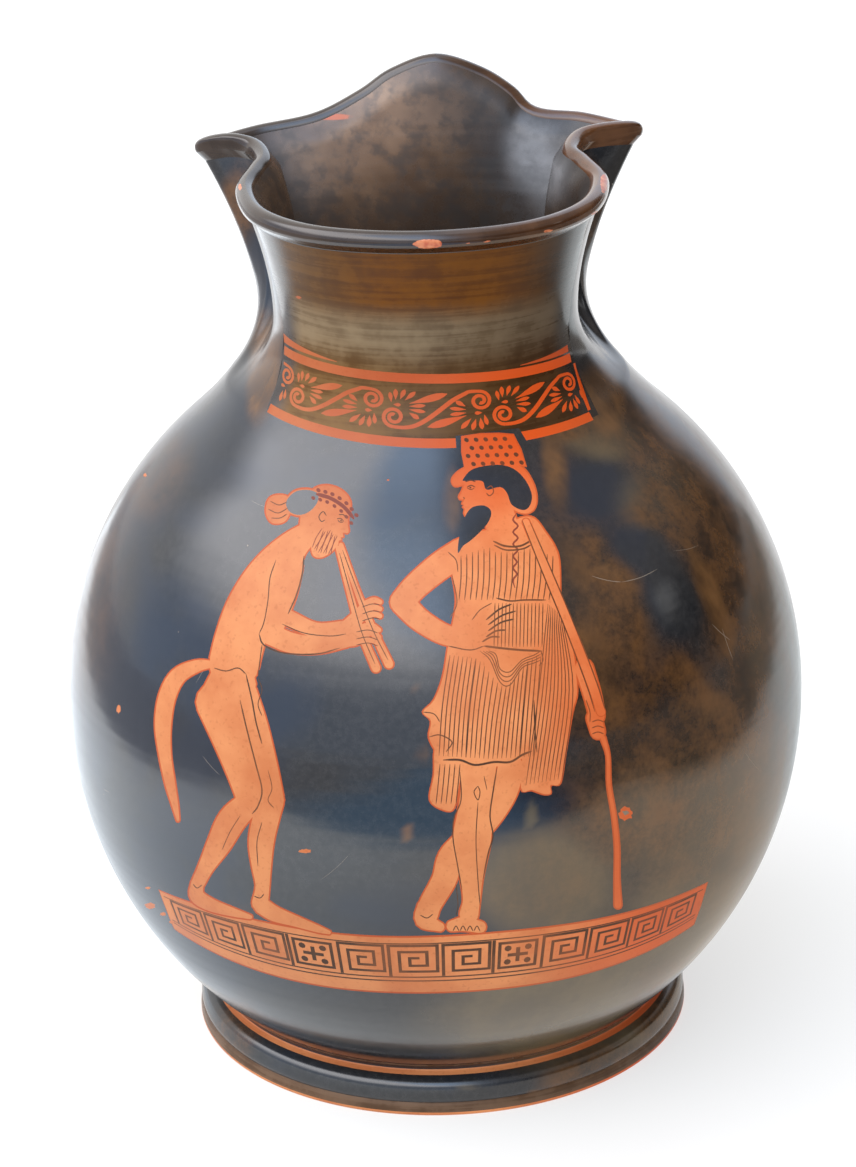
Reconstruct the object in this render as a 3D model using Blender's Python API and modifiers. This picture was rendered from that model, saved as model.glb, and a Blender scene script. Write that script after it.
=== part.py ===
"""Wine jug of fired clay: turned on the wheel, pinched to a three-lobed mouth, a strap handle at the back.

Metres, +Z up. The jug stands on Z = 0, its pouring lip looks along -Y and its handle along +Y.
"""
import math

import bmesh
import bpy
from mathutils import Vector

# Wall and turning
WALL = 0.0046
TURN_STEPS = 64
WELD = 0.00001

# Belly, a ball drawn in a little faster above its widest line than below it, from its seat to the shoulder
BELLY_RADIUS = 0.0940
BELLY_LINE = 0.0900
SEAT_RADIUS = 0.0600
SHOULDER_TOP = 0.1620
SHOULDER_RADIUS = 0.0622

# Neck
WAIST_RADIUS = 0.0422
WAIST_HEIGHT = 0.1950

# Lip, as it is turned before the mouth is pinched
RIM_HEIGHT = 0.2270
LIP_RADIUS = 0.0485
LIP_WIDTH = 0.0048
LIP_OVERHANG = 0.0008

# Mouth, pinched by hand from the round lip: where its outer edge lies from the turning axis
SPOUT_REACH = 0.0493
SPOUT_HALF_WIDTH = 0.0453
LEFT_PINCH_REACH = 0.0416
LEFT_PINCH_BACK = 0.0135
RIGHT_PINCH_REACH = 0.0394
RIGHT_PINCH_BACK = 0.0145
PINCH_RISE = 0.0020
LEFT_EAR_REACH = 0.0570
LEFT_EAR_BACK = 0.0312
LEFT_EAR_RISE = 0.0010
RIGHT_EAR_REACH = 0.0558
RIGHT_EAR_BACK = 0.0325
RIGHT_EAR_RISE = 0.0022
BACK_REACH = 0.0510
BACK_RISE = 0.0166
CREST_HALF_WIDTH = 0.0290
CREST_LEAN = 0.0041

# Hollows that the fingers leave down the neck; the turn is a share of the way from the spout to the back
PINCH_FOOT = 0.1760
GROOVE_DEPTH = 0.0027
GROOVE_TURN = 0.44
GROOVE_SPREAD = 0.13

# Foot
FOOT_RADIUS = 0.0642
FOOT_HEIGHT = 0.0104
FOOT_RING = 0.0085
FOOT_GROOVE = 0.0035
FOOT_NECK_RADIUS = 0.0590
UNDERSIDE_HOLLOW = 0.0045
FLOOR_THICKNESS = 0.0052

# Handle, a strap that leaves the back of the rim level and comes down onto the belly
STRAP_WIDTH = 0.0270
STRAP_THICKNESS = 0.0095
STRAP_REACH = 0.0370
STRAP_FOOT = 0.1280
STRAP_BELOW_CREST = 0.0088
STRAP_TOP_FLARE = 0.04
STRAP_FOOT_FLARE = 0.30
STRAP_RINGS = 22
STRAP_SIDES_RESOLUTION = 6


def clear_scene():
    for old in list(bpy.data.objects):
        bpy.data.objects.remove(old, do_unlink=True)


def new_collection(name):
    made = bpy.data.collections.new(name)
    bpy.context.scene.collection.children.link(made)
    return made


def glossy_slip():
    material = bpy.data.materials.new("black_slip")
    material.use_nodes = True
    shader = material.node_tree.nodes["Principled BSDF"]
    shader.inputs["Base Color"].default_value = (0.020, 0.021, 0.026, 1.0)
    shader.inputs["Roughness"].default_value = 0.25
    shader.inputs["Metallic"].default_value = 0.0
    return material


def belly_seat():
    """Height at which the belly meets the foot."""
    return FOOT_HEIGHT + 0.4 * WALL


def ball_reach(z, inset):
    """How far from its widest line the belly would close, upwards or downwards as height z lies."""
    height, radius = (SHOULDER_TOP, SHOULDER_RADIUS) if z > BELLY_LINE else (belly_seat(), SEAT_RADIUS)
    return abs(height - BELLY_LINE) / math.sqrt(1.0 - (radius / BELLY_RADIUS) ** 2) - inset


def ball_share(z, inset):
    """Height z above or below the belly's widest line, as a share of the way to where it would close."""
    return (z - BELLY_LINE) / ball_reach(z, inset)


def ball_radius(z, inset):
    """Radius of the belly at height z, on a surface that lies inset inside the outer one."""
    return (BELLY_RADIUS - inset) * math.sqrt(max(0.0, 1.0 - ball_share(z, inset) ** 2))


def shoulder_slope(inset):
    """How fast the belly draws in with height where the neck begins."""
    share = ball_share(SHOULDER_TOP, inset)
    reach = ball_reach(SHOULDER_TOP, inset)
    return (BELLY_RADIUS - inset) * share / (reach * math.sqrt(1.0 - share * share))


def wall_radius(z, inset):
    """Radius of the turned wall at height z, on a surface that lies inset inside the outer one."""
    waist = WAIST_RADIUS - inset
    if z <= SHOULDER_TOP:
        return ball_radius(z, inset)
    if z <= WAIST_HEIGHT:
        height = WAIST_HEIGHT - SHOULDER_TOP
        up = (z - SHOULDER_TOP) / height
        drawn = ball_radius(SHOULDER_TOP, inset) - waist
        left_over = drawn * (1.0 - up) ** 2 * (1.0 + 2.0 * up)
        return waist + left_over - shoulder_slope(inset) * height * up * (1.0 - up) ** 2
    lip = LIP_RADIUS - LIP_OVERHANG - inset
    return waist + (lip - waist) * ((z - WAIST_HEIGHT) / (RIM_HEIGHT - WAIST_HEIGHT)) ** 2


def ball_outward(z):
    """Direction straight out of the belly's surface at height z, at the back of the jug."""
    share = ball_share(z, 0.0)
    across = math.sqrt(1.0 - share * share) / BELLY_RADIUS
    return Vector((0.0, across, share / ball_reach(z, 0.0))).normalized()


def spread(low, high, count):
    return [low + (high - low) * i / (count - 1) for i in range(count)]


def ball_heights(low, inset, count):
    """Heights from low to the shoulder that lie evenly round the belly's curve."""
    start = math.asin(ball_share(low, inset))
    end = math.asin(ball_share(SHOULDER_TOP, inset))
    heights = []
    for angle in spread(start, end, count):
        side = SHOULDER_TOP if angle > 0.0 else low
        heights.append(BELLY_LINE + ball_reach(side, inset) * math.sin(angle))
    return heights


def inner_profile():
    """From the middle of the floor up to the lip."""
    floor = UNDERSIDE_HOLLOW + FLOOR_THICKNESS
    knee = floor + 0.6 * WALL
    points = [(0.0, floor), (0.82 * wall_radius(knee, WALL), floor)]
    heights = ball_heights(knee, WALL, 13)
    heights += spread(SHOULDER_TOP, WAIST_HEIGHT, 5)[1:]
    heights += spread(WAIST_HEIGHT, RIM_HEIGHT - LIP_WIDTH, 5)[1:]
    return points + [(wall_radius(z, WALL), z) for z in heights]


def lip_underside():
    """Height of the lip's lower edge, before the mouth is pinched."""
    return RIM_HEIGHT - 1.15 * LIP_WIDTH


def lip_profile():
    """Round bead along the rim, from its inner side over the top to its outer side."""
    bead = LIP_WIDTH / 2
    centre_r = LIP_RADIUS - bead
    centre_z = RIM_HEIGHT - bead
    angles = [math.radians(a) for a in (165, 130, 90, 50, 10, -30)]
    points = [(centre_r + bead * math.cos(a), centre_z + bead * math.sin(a)) for a in angles]
    return points + [(wall_radius(lip_underside(), 0.0), lip_underside())]


def outer_profile():
    """From under the lip down to where the belly meets the foot."""
    heights = spread(lip_underside(), WAIST_HEIGHT, 5)[1:]
    heights += spread(WAIST_HEIGHT, SHOULDER_TOP, 6)[1:]
    heights += list(reversed(ball_heights(belly_seat(), 0.0, 16)))[1:]
    return [(wall_radius(z, 0.0), z) for z in heights]


def foot_profile():
    """Moulded foot, from the seat of the belly down to the middle of the hollow underside."""
    ring_inner = FOOT_RADIUS - FOOT_RING
    swell = FOOT_RADIUS - FOOT_NECK_RADIUS
    return [
        (FOOT_NECK_RADIUS, FOOT_HEIGHT + 0.1 * WALL),
        (FOOT_NECK_RADIUS + 0.05 * swell, 0.96 * FOOT_HEIGHT),
        (FOOT_NECK_RADIUS + 0.62 * swell, 0.86 * FOOT_HEIGHT),
        (FOOT_NECK_RADIUS + 0.90 * swell, 0.62 * FOOT_HEIGHT),
        (FOOT_NECK_RADIUS + 0.88 * swell, FOOT_GROOVE),
        (FOOT_NECK_RADIUS + 0.97 * swell, 0.75 * FOOT_GROOVE),
        (FOOT_RADIUS, 0.0),
        (ring_inner, 0.0),
        (ring_inner - 0.6 * UNDERSIDE_HOLLOW, 0.9 * UNDERSIDE_HOLLOW),
        (0.0, UNDERSIDE_HOLLOW),
    ]


def turned_mesh(name, profile):
    """Closed body of revolution about Z."""
    line = bpy.data.meshes.new(name + "_profile")
    edges = [(i, i + 1) for i in range(len(profile) - 1)]
    line.from_pydata([(r, 0.0, z) for r, z in profile], edges, [])
    holder = bpy.data.objects.new(name + "_profile", line)
    bpy.context.scene.collection.objects.link(holder)
    screw = holder.modifiers.new("turning", "SCREW")
    screw.axis = "Z"
    screw.steps = TURN_STEPS
    screw.render_steps = TURN_STEPS
    screw.use_merge_vertices = True
    screw.merge_threshold = WELD
    graph = bpy.context.evaluated_depsgraph_get()
    mesh = bpy.data.meshes.new_from_object(holder.evaluated_get(graph))
    mesh.name = name
    bpy.data.objects.remove(holder, do_unlink=True)
    return mesh


def side_sizes(side):
    """Reach and place of the pinch and of the ear on one side, and the ear's rise."""
    if side == "left":
        return LEFT_PINCH_REACH, LEFT_PINCH_BACK, LEFT_EAR_REACH, LEFT_EAR_BACK, LEFT_EAR_RISE
    return RIGHT_PINCH_REACH, RIGHT_PINCH_BACK, RIGHT_EAR_REACH, RIGHT_EAR_BACK, RIGHT_EAR_RISE


def mouth_points(side):
    """Outer edge of the lip on one side, from the spout to the back: across, along and up from the rim."""
    sign = -1.0 if side == "left" else 1.0
    pinch, pinch_back, ear, ear_back, ear_rise = side_sizes(side)
    to_ear = ear - pinch
    to_back = BACK_REACH - ear_back
    corner = ear_back + 0.76 * to_back
    crest = CREST_HALF_WIDTH
    points = [
        (0.0, -SPOUT_REACH, 0.0),
        (0.55 * SPOUT_HALF_WIDTH, -0.885 * SPOUT_REACH, 0.0),
        (0.885 * SPOUT_HALF_WIDTH, -0.57 * SPOUT_REACH, 0.0),
        (SPOUT_HALF_WIDTH, -0.16 * SPOUT_REACH, 0.25 * PINCH_RISE),
        (pinch + 0.45 * (SPOUT_HALF_WIDTH - pinch), pinch_back - 0.16 * SPOUT_REACH, 0.7 * PINCH_RISE),
        (pinch, pinch_back, PINCH_RISE),
        (pinch + 0.15 * to_ear, pinch_back + 0.52 * (ear_back - pinch_back), 1.4 * PINCH_RISE),
        (pinch + 0.54 * to_ear, pinch_back + 0.72 * (ear_back - pinch_back), 1.6 * PINCH_RISE),
        (ear, ear_back, ear_rise),
        (0.93 * ear, ear_back + 0.40 * to_back, ear_rise - 0.7 * PINCH_RISE),
        (0.75 * ear, ear_back + 0.66 * to_back, ear_rise - 0.1 * PINCH_RISE),
        (crest, corner, 0.19 * BACK_RISE),
        (0.70 * crest, ear_back + 0.88 * to_back, 0.49 * BACK_RISE),
        (0.41 * crest, ear_back + 0.97 * to_back, 0.79 * BACK_RISE),
    ]
    lean = [0.0] * 11 + [0.3, 1.0, 1.0]
    edge = [Vector((sign * x + share * CREST_LEAN, y, z)) for (x, y, z), share in zip(points, lean)]
    return edge + [Vector((CREST_LEAN, BACK_REACH, BACK_RISE))]


def smooth_through(points, share):
    """Point on the smooth curve that passes through the inner points of a list of four."""
    a, b, c, d = points
    square = share * share
    cube = square * share
    return (
        a * (-0.5 * cube + square - 0.5 * share)
        + b * (1.5 * cube - 2.5 * square + 1.0)
        + c * (-1.5 * cube + 2.0 * square + 0.5 * share)
        + d * (0.5 * cube - 0.5 * square)
    )


def half_mouth(side):
    """Close-set points on one half of the lip's edge, with their distance along it."""
    own = mouth_points(side)
    other = mouth_points("left" if side == "right" else "right")
    guide = [other[1]] + own + [other[-2]]
    path = [own[0]]
    lengths = [0.0]
    for i in range(len(own) - 1):
        for step in range(1, 13):
            point = smooth_through(guide[i:i + 4], step / 12)
            lengths.append(lengths[-1] + (point - path[-1]).length)
            path.append(point)
    return path, lengths


def lip_edge(halves, turn):
    """Point on the lip's edge at a share of the way round, -1 to 1, from the spout."""
    path, lengths = halves["right" if turn >= 0.0 else "left"]
    want = min(abs(turn), 1.0) * lengths[-1]
    for i in range(1, len(path)):
        if lengths[i] >= want:
            share = (want - lengths[i - 1]) / (lengths[i] - lengths[i - 1])
            return path[i - 1].lerp(path[i], share)
    return path[-1].copy()


def around(angle):
    """Share of the way round from the spout, -1 to 1, of an angle measured from +X."""
    turn = (angle + math.pi / 2) / math.pi
    return turn - 2.0 if turn > 1.0 else turn


def edge_outward(halves, turn):
    """Direction out of the mouth, level, across the lip's edge."""
    step = 0.01
    ahead = lip_edge(halves, turn + step if turn + step <= 1.0 else turn + step - 2.0)
    behind = lip_edge(halves, turn - step if turn - step >= -1.0 else turn - step + 2.0)
    along = ahead - behind
    return Vector((along.y, -along.x, 0.0)).normalized()


def eased(value):
    value = min(1.0, max(0.0, value))
    return value * value * (3.0 - 2.0 * value)


def pinch_mouth(mesh):
    """Moves the neck and lip as the potter's fingers do, from a round rim to three lobes."""
    halves = {side: half_mouth(side) for side in ("left", "right")}
    for vertex in mesh.vertices:
        x, y, z = vertex.co
        radius = math.hypot(x, y)
        if z <= PINCH_FOOT or radius < WELD:
            continue
        outward = Vector((x / radius, y / radius, 0.0))
        turn = around(math.atan2(y, x))
        edge = lip_edge(halves, turn)
        lift = edge.z
        flat_edge = Vector((edge.x, edge.y, 0.0))
        deep = min(1.0, max(0.0, (wall_radius(z, 0.0) - radius) / WALL))
        inner = flat_edge - edge_outward(halves, turn) * (deep * WALL)
        moved = inner - outward * (LIP_RADIUS - deep * WALL)
        pressed = eased(-moved.dot(outward) / (LIP_RADIUS - RIGHT_PINCH_REACH))
        height = min(1.0, (z - PINCH_FOOT) / (RIM_HEIGHT - LIP_WIDTH - PINCH_FOOT))
        share = height ** (1.25 - 0.65 * pressed)
        near = math.exp(-((abs(turn) - GROOVE_TURN) / GROOVE_SPREAD) ** 2)
        groove = outward * (GROOVE_DEPTH * near * math.sin(math.pi * height ** 0.75))
        rise = Vector((0.0, 0.0, lift * height ** 1.5))
        vertex.co = Vector((x, y, z)) + moved * share - groove + rise


def strap_path():
    """Points down the middle of the handle, and how much wider each is than the plain strap."""
    top = RIM_HEIGHT + BACK_RISE - STRAP_BELOW_CREST
    start = Vector((CREST_LEAN, BACK_REACH - 1.05 * WALL, top))
    outward = ball_outward(STRAP_FOOT)
    surface = Vector((CREST_LEAN, wall_radius(STRAP_FOOT, 0.0), STRAP_FOOT))
    foot = surface - outward * (0.66 * WALL)
    first_bend = start + Vector((0.0, STRAP_REACH, 0.0))
    last_bend = foot + outward * STRAP_REACH
    path = []
    for i in range(STRAP_RINGS):
        t = i / (STRAP_RINGS - 1)
        s = 1.0 - t
        ends = start * s ** 3 + foot * t ** 3
        bends = first_bend * (3.0 * s * s * t) + last_bend * (3.0 * s * t * t)
        path.append((ends + bends, 1.0 + STRAP_TOP_FLARE * s ** 8 + STRAP_FOOT_FLARE * t ** 8))
    return path


def strap_mesh(name):
    """Oval strap: a round tube along the handle's line, widened across."""
    path = strap_path()
    curve = bpy.data.curves.new(name + "_line", "CURVE")
    curve.dimensions = "3D"
    curve.bevel_depth = STRAP_THICKNESS / 2
    curve.bevel_resolution = STRAP_SIDES_RESOLUTION
    curve.use_fill_caps = True
    spline = curve.splines.new("POLY")
    spline.points.add(len(path) - 1)
    widen = STRAP_WIDTH / STRAP_THICKNESS
    for spot, (point, flare) in zip(spline.points, path):
        spot.co = ((point.x - CREST_LEAN) / widen, point.y, point.z, 1.0)
        spot.radius = flare
    holder = bpy.data.objects.new(name + "_line", curve)
    bpy.context.scene.collection.objects.link(holder)
    holder.location.x = CREST_LEAN
    holder.scale.x = widen
    bpy.context.view_layer.update()
    graph = bpy.context.evaluated_depsgraph_get()
    mesh = bpy.data.meshes.new_from_object(holder.evaluated_get(graph))
    mesh.name = name
    mesh.transform(holder.matrix_world)
    bpy.data.objects.remove(holder, do_unlink=True)
    weld_and_turn_out(mesh)
    return mesh


def weld_and_turn_out(mesh):
    work = bmesh.new()
    work.from_mesh(mesh)
    bmesh.ops.remove_doubles(work, verts=work.verts, dist=WELD)
    bmesh.ops.recalc_face_normals(work, faces=work.faces)
    work.to_mesh(mesh)
    work.free()


def stand_over_origin(mesh):
    """Puts the middle of the jug's box over the origin, with the foot on Z = 0."""
    lows = [min(v.co[axis] for v in mesh.vertices) for axis in range(3)]
    highs = [max(v.co[axis] for v in mesh.vertices) for axis in range(3)]
    middle = Vector(((lows[0] + highs[0]) / 2, (lows[1] + highs[1]) / 2, lows[2]))
    for vertex in mesh.vertices:
        vertex.co -= middle


def make_jug(parts, cutters):
    vessel = turned_mesh("jug", inner_profile() + lip_profile() + outer_profile() + foot_profile())
    pinch_mouth(vessel)
    weld_and_turn_out(vessel)
    strap = bpy.data.objects.new("strap", strap_mesh("strap"))
    strap.hide_render = True
    strap.display_type = "WIRE"
    cutters.objects.link(strap)
    jug = bpy.data.objects.new("jug", vessel)
    parts.objects.link(jug)
    joined = jug.modifiers.new("handle", "BOOLEAN")
    joined.operation = "UNION"
    joined.solver = "EXACT"
    joined.object = strap
    bpy.context.view_layer.update()
    graph = bpy.context.evaluated_depsgraph_get()
    mesh = bpy.data.meshes.new_from_object(jug.evaluated_get(graph))
    jug.modifiers.remove(joined)
    jug.data = mesh
    mesh.name = "jug"
    bpy.data.objects.remove(strap, do_unlink=True)
    stand_over_origin(mesh)
    mesh.materials.clear()
    mesh.materials.append(glossy_slip())
    mesh.shade_smooth()
    mesh.set_sharp_from_angle(angle=math.radians(40))
    return jug


clear_scene()
make_jug(new_collection("wine_jug"), new_collection("cutters"))
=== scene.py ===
import math

import bpy
import numpy as np
from mathutils import Matrix, Vector
from mathutils.geometry import delaunay_2d_cdt


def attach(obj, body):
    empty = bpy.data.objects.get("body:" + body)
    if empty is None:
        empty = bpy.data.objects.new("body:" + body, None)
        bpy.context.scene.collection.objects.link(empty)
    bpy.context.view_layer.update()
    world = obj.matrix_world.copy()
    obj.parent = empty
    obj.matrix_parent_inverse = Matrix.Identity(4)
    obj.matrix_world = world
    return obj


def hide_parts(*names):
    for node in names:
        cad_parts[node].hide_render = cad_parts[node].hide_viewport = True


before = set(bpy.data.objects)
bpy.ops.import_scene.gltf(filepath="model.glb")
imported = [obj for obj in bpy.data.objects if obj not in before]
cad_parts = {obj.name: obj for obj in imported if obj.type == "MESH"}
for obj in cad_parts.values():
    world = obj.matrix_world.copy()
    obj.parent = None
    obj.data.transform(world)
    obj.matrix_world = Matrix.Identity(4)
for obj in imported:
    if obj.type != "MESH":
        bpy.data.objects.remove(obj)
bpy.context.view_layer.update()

# The jug's own sizes, in metres, the same as its solid has
WALL = 0.0046
BELLY_RADIUS = 0.0940
BELLY_LINE = 0.0900
SEAT_RADIUS = 0.0600
SHOULDER_TOP = 0.1620
SHOULDER_RADIUS = 0.0622
WAIST_RADIUS = 0.0422
WAIST_HEIGHT = 0.1950
RIM_HEIGHT = 0.2270
LIP_RADIUS = 0.0485
LIP_WIDTH = 0.0048
LIP_OVERHANG = 0.0008
SPOUT_REACH = 0.0493
SPOUT_HALF_WIDTH = 0.0453
LEFT_PINCH = (0.0416, 0.0135)
RIGHT_PINCH = (0.0394, 0.0145)
PINCH_RISE = 0.0020
LEFT_EAR = (0.0570, 0.0312, 0.0010)
RIGHT_EAR = (0.0558, 0.0325, 0.0022)
BACK_REACH = 0.0510
BACK_RISE = 0.0166
CREST_HALF_WIDTH = 0.0290
CREST_LEAN = 0.0041
PINCH_FOOT = 0.1760
GROOVE_DEPTH = 0.0027
GROOVE_TURN = 0.44
GROOVE_SPREAD = 0.13
FOOT_RADIUS = 0.0642
FOOT_HEIGHT = 0.0104
FOOT_RING = 0.0085
UNDERSIDE_HOLLOW = 0.0045
FLOOR_THICKNESS = 0.0052
STRAP_WIDTH = 0.0270
STRAP_THICKNESS = 0.0095
STRAP_REACH = 0.0370
STRAP_FOOT = 0.1280
STRAP_BELOW_CREST = 0.0088
AXIS_BACK = -0.004217

# Top and bottom of the outer wall, between the lip and the foot
UNDER_LIP = RIM_HEIGHT - 1.15 * LIP_WIDTH
SEAT_HEIGHT = FOOT_HEIGHT + 0.4 * WALL

# Fineness of the mesh, round the jug and down its wall
COLUMNS = 240
NECK_ROWS = 40
BELLY_ROWS = 84

# Form


def ball_reach(z, inset):
    up = abs(SHOULDER_TOP - BELLY_LINE) / math.sqrt(1.0 - (SHOULDER_RADIUS / BELLY_RADIUS) ** 2)
    down = abs(SEAT_HEIGHT - BELLY_LINE) / math.sqrt(1.0 - (SEAT_RADIUS / BELLY_RADIUS) ** 2)
    return np.where(z > BELLY_LINE, up, down) - inset


def ball_radius(z, inset):
    share = (z - BELLY_LINE) / ball_reach(z, inset)
    return (BELLY_RADIUS - inset) * np.sqrt(np.maximum(0.0, 1.0 - share * share))


def wall_radius(z, inset=0.0):
    """Radius of the turned wall at heights z, before the mouth is pinched."""
    z = np.asarray(z, float)
    waist = WAIST_RADIUS - inset
    reach = float(ball_reach(SHOULDER_TOP, inset))
    share = (SHOULDER_TOP - BELLY_LINE) / reach
    slope = (BELLY_RADIUS - inset) * share / (reach * math.sqrt(1.0 - share * share))
    height = WAIST_HEIGHT - SHOULDER_TOP
    up = np.clip((z - SHOULDER_TOP) / height, 0.0, 1.0)
    drawn = float(ball_radius(SHOULDER_TOP, inset)) - waist
    shoulder = waist + drawn * (1.0 - up) ** 2 * (1.0 + 2.0 * up) - slope * height * up * (1.0 - up) ** 2
    lip = LIP_RADIUS - LIP_OVERHANG - inset
    flare = waist + (lip - waist) * np.clip((z - WAIST_HEIGHT) / (RIM_HEIGHT - WAIST_HEIGHT), 0.0, 2.0) ** 2
    return np.where(z <= SHOULDER_TOP, ball_radius(z, inset), np.where(z <= WAIST_HEIGHT, shoulder, flare))


def curve_within(guide, s):
    """Smooth curve through the inner points of a guide, at shares s of the way over each gap."""
    return np.concatenate([
        a * (-0.5 * s ** 3 + s ** 2 - 0.5 * s)
        + b * (1.5 * s ** 3 - 2.5 * s ** 2 + 1.0)
        + c * (-1.5 * s ** 3 + 2.0 * s ** 2 + 0.5 * s)
        + d * (0.5 * s ** 3 - 0.5 * s ** 2)
        for a, b, c, d in zip(guide, guide[1:], guide[2:], guide[3:])
    ])


def smooth_through(points, steps, closed=False):
    """Smooth line through the points, so many steps to each gap."""
    points = np.asarray(points, float)
    s = (np.arange(steps) / steps)[:, None]
    if closed:
        return curve_within(np.concatenate([points[-1:], points, points[:2]]), s)
    first = 2.0 * points[:1] - points[1:2]
    last = 2.0 * points[-1:] - points[-2:-1]
    return np.concatenate([curve_within(np.concatenate([first, points, last]), s), points[-1:]])


def mouth_points(sign, pinch_size, ear_size):
    """Outer edge of the lip on one side, from the spout to the back."""
    pinch, pinch_back = pinch_size
    ear, ear_back, ear_rise = ear_size
    to_ear = ear - pinch
    to_back = BACK_REACH - ear_back
    crest = CREST_HALF_WIDTH
    points = [
        (0.0, -SPOUT_REACH, 0.0),
        (0.55 * SPOUT_HALF_WIDTH, -0.885 * SPOUT_REACH, 0.0),
        (0.885 * SPOUT_HALF_WIDTH, -0.57 * SPOUT_REACH, 0.0),
        (SPOUT_HALF_WIDTH, -0.16 * SPOUT_REACH, 0.25 * PINCH_RISE),
        (pinch + 0.45 * (SPOUT_HALF_WIDTH - pinch), pinch_back - 0.16 * SPOUT_REACH, 0.7 * PINCH_RISE),
        (pinch, pinch_back, PINCH_RISE),
        (pinch + 0.15 * to_ear, pinch_back + 0.52 * (ear_back - pinch_back), 1.4 * PINCH_RISE),
        (pinch + 0.54 * to_ear, pinch_back + 0.72 * (ear_back - pinch_back), 1.6 * PINCH_RISE),
        (ear, ear_back, ear_rise),
        (0.93 * ear, ear_back + 0.40 * to_back, ear_rise - 0.7 * PINCH_RISE),
        (0.75 * ear, ear_back + 0.66 * to_back, ear_rise - 0.1 * PINCH_RISE),
        (crest, ear_back + 0.76 * to_back, 0.19 * BACK_RISE),
        (0.70 * crest, ear_back + 0.88 * to_back, 0.49 * BACK_RISE),
        (0.41 * crest, ear_back + 0.97 * to_back, 0.79 * BACK_RISE),
    ]
    lean = [0.0] * 11 + [0.3, 1.0, 1.0]
    edge = [(sign * x + share * CREST_LEAN, y, z) for (x, y, z), share in zip(points, lean)]
    return edge + [(CREST_LEAN, BACK_REACH, BACK_RISE)]


def half_mouth(own, other):
    """Close-set points on one half of the lip's edge, and the share of the way along it."""
    guide = np.array([other[1]] + own + [other[-2]])
    path = np.concatenate([guide[1:2], curve_within(guide, (np.arange(1, 13) / 12)[:, None])])
    lengths = way_along(path)
    return path, lengths / lengths[-1]


def way_along(path):
    """Length from a path's start to each of its points."""
    return np.concatenate([[0.0], np.cumsum(np.linalg.norm(np.diff(path, axis=0), axis=1))])


LEFT_EDGE = mouth_points(-1.0, LEFT_PINCH, LEFT_EAR)
RIGHT_EDGE = mouth_points(1.0, RIGHT_PINCH, RIGHT_EAR)
LEFT_HALF = half_mouth(LEFT_EDGE, RIGHT_EDGE)
RIGHT_HALF = half_mouth(RIGHT_EDGE, LEFT_EDGE)


def once_round(turn):
    """Turns past the back, brought to between -1 and 1 from the spout."""
    return np.where(turn > 1.0, turn - 2.0, np.where(turn < -1.0, turn + 2.0, turn))


def lip_edge(turn):
    """Points on the lip's edge at shares of the way round from the spout."""
    turn = once_round(turn)
    out = np.empty((len(turn), 3))
    for side, (path, share) in ((turn >= 0.0, RIGHT_HALF), (turn < 0.0, LEFT_HALF)):
        for axis in range(3):
            out[side, axis] = np.interp(np.abs(turn[side]), share, path[:, axis])
    return out


def eased(value):
    value = np.clip(value, 0.0, 1.0)
    return value * value * (3.0 - 2.0 * value)


def unit_length(rows, least=0.0):
    return rows / np.maximum(np.linalg.norm(rows, axis=-1, keepdims=True), least)


def pinched(turn, radius, z):
    """Places on the jug of points of the turned form, given by turn from the spout, radius and height."""
    turn, radius, z = (np.asarray(v, float) for v in (turn, radius, z))
    angle = turn * math.pi
    outward = np.stack([np.sin(angle), -np.cos(angle), np.zeros_like(angle)], -1)
    edge = lip_edge(turn)
    along = lip_edge(turn + 0.01) - lip_edge(turn - 0.01)
    across = unit_length(np.stack([along[:, 1], -along[:, 0], np.zeros_like(angle)], -1))
    deep = np.clip((wall_radius(z) - radius) / WALL, 0.0, 1.0)[:, None]
    moved = edge * [1.0, 1.0, 0.0] - across * deep * WALL - outward * (LIP_RADIUS - deep * WALL)
    pressed = eased(-(moved * outward).sum(1) / (LIP_RADIUS - RIGHT_PINCH[0]))
    height = np.clip((z - PINCH_FOOT) / (RIM_HEIGHT - LIP_WIDTH - PINCH_FOOT), 0.0, 1.0)
    share = np.where(height > 0.0, np.maximum(height, 1e-9) ** (1.25 - 0.65 * pressed), 0.0)
    near = np.exp(-((np.abs(turn) - GROOVE_TURN) / GROOVE_SPREAD) ** 2)
    groove = outward * (GROOVE_DEPTH * near * np.sin(math.pi * height ** 0.75))[:, None]
    place = outward * radius[:, None] + moved * share[:, None] - groove
    place[:, 2] = z + edge[:, 2] * height ** 1.5
    place[:, 1] += AXIS_BACK
    return place


class Outline:
    """A turned outline: heights and radii at shares of its length, from its top to its bottom."""

    def __init__(self, radii, heights):
        self.radii, self.heights = radii, heights
        self.along = np.concatenate([[0.0], np.cumsum(np.hypot(np.diff(radii), np.diff(heights)))])
        self.length = self.along[-1]

    def at(self, along):
        return np.interp(along, self.along, self.radii), np.interp(along, self.along, self.heights)

    def from_height(self, z):
        return np.interp(-np.asarray(z, float), -self.heights, self.along)


def skin_outline():
    """The outer wall from under the lip down to the foot."""
    reach = float(ball_reach(SEAT_HEIGHT, 0.0))
    low = BELLY_LINE + reach * np.sin(np.linspace(math.asin((SEAT_HEIGHT - BELLY_LINE) / reach), 0.0, 400))
    high = np.linspace(BELLY_LINE, UNDER_LIP, 1200)[1:]
    heights = np.concatenate([low, high])[::-1]
    return Outline(wall_radius(heights), heights)


SKIN = skin_outline()

# Painter's marks
SLIP, CLAY, HALO, LINE, RED, CHIP, BROWN, PALE = range(8)
FRONT = BELLY_RADIUS

# Where the picture is looked at from, and how large a step of the drawing is there
EYE_DISTANCE = 0.99222
EYE_ELEVATION = math.radians(22.81)
EYE_TURN = math.radians(-1.475)
AIM_HEIGHT = 0.11823
AIM_ACROSS = -0.00111
PICTURE_WIDTH = 856
PICTURE_HEIGHT = 1167
STEPS_PER_DISTANCE = 3895.21
WRAP_HALVINGS = 40
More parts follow.
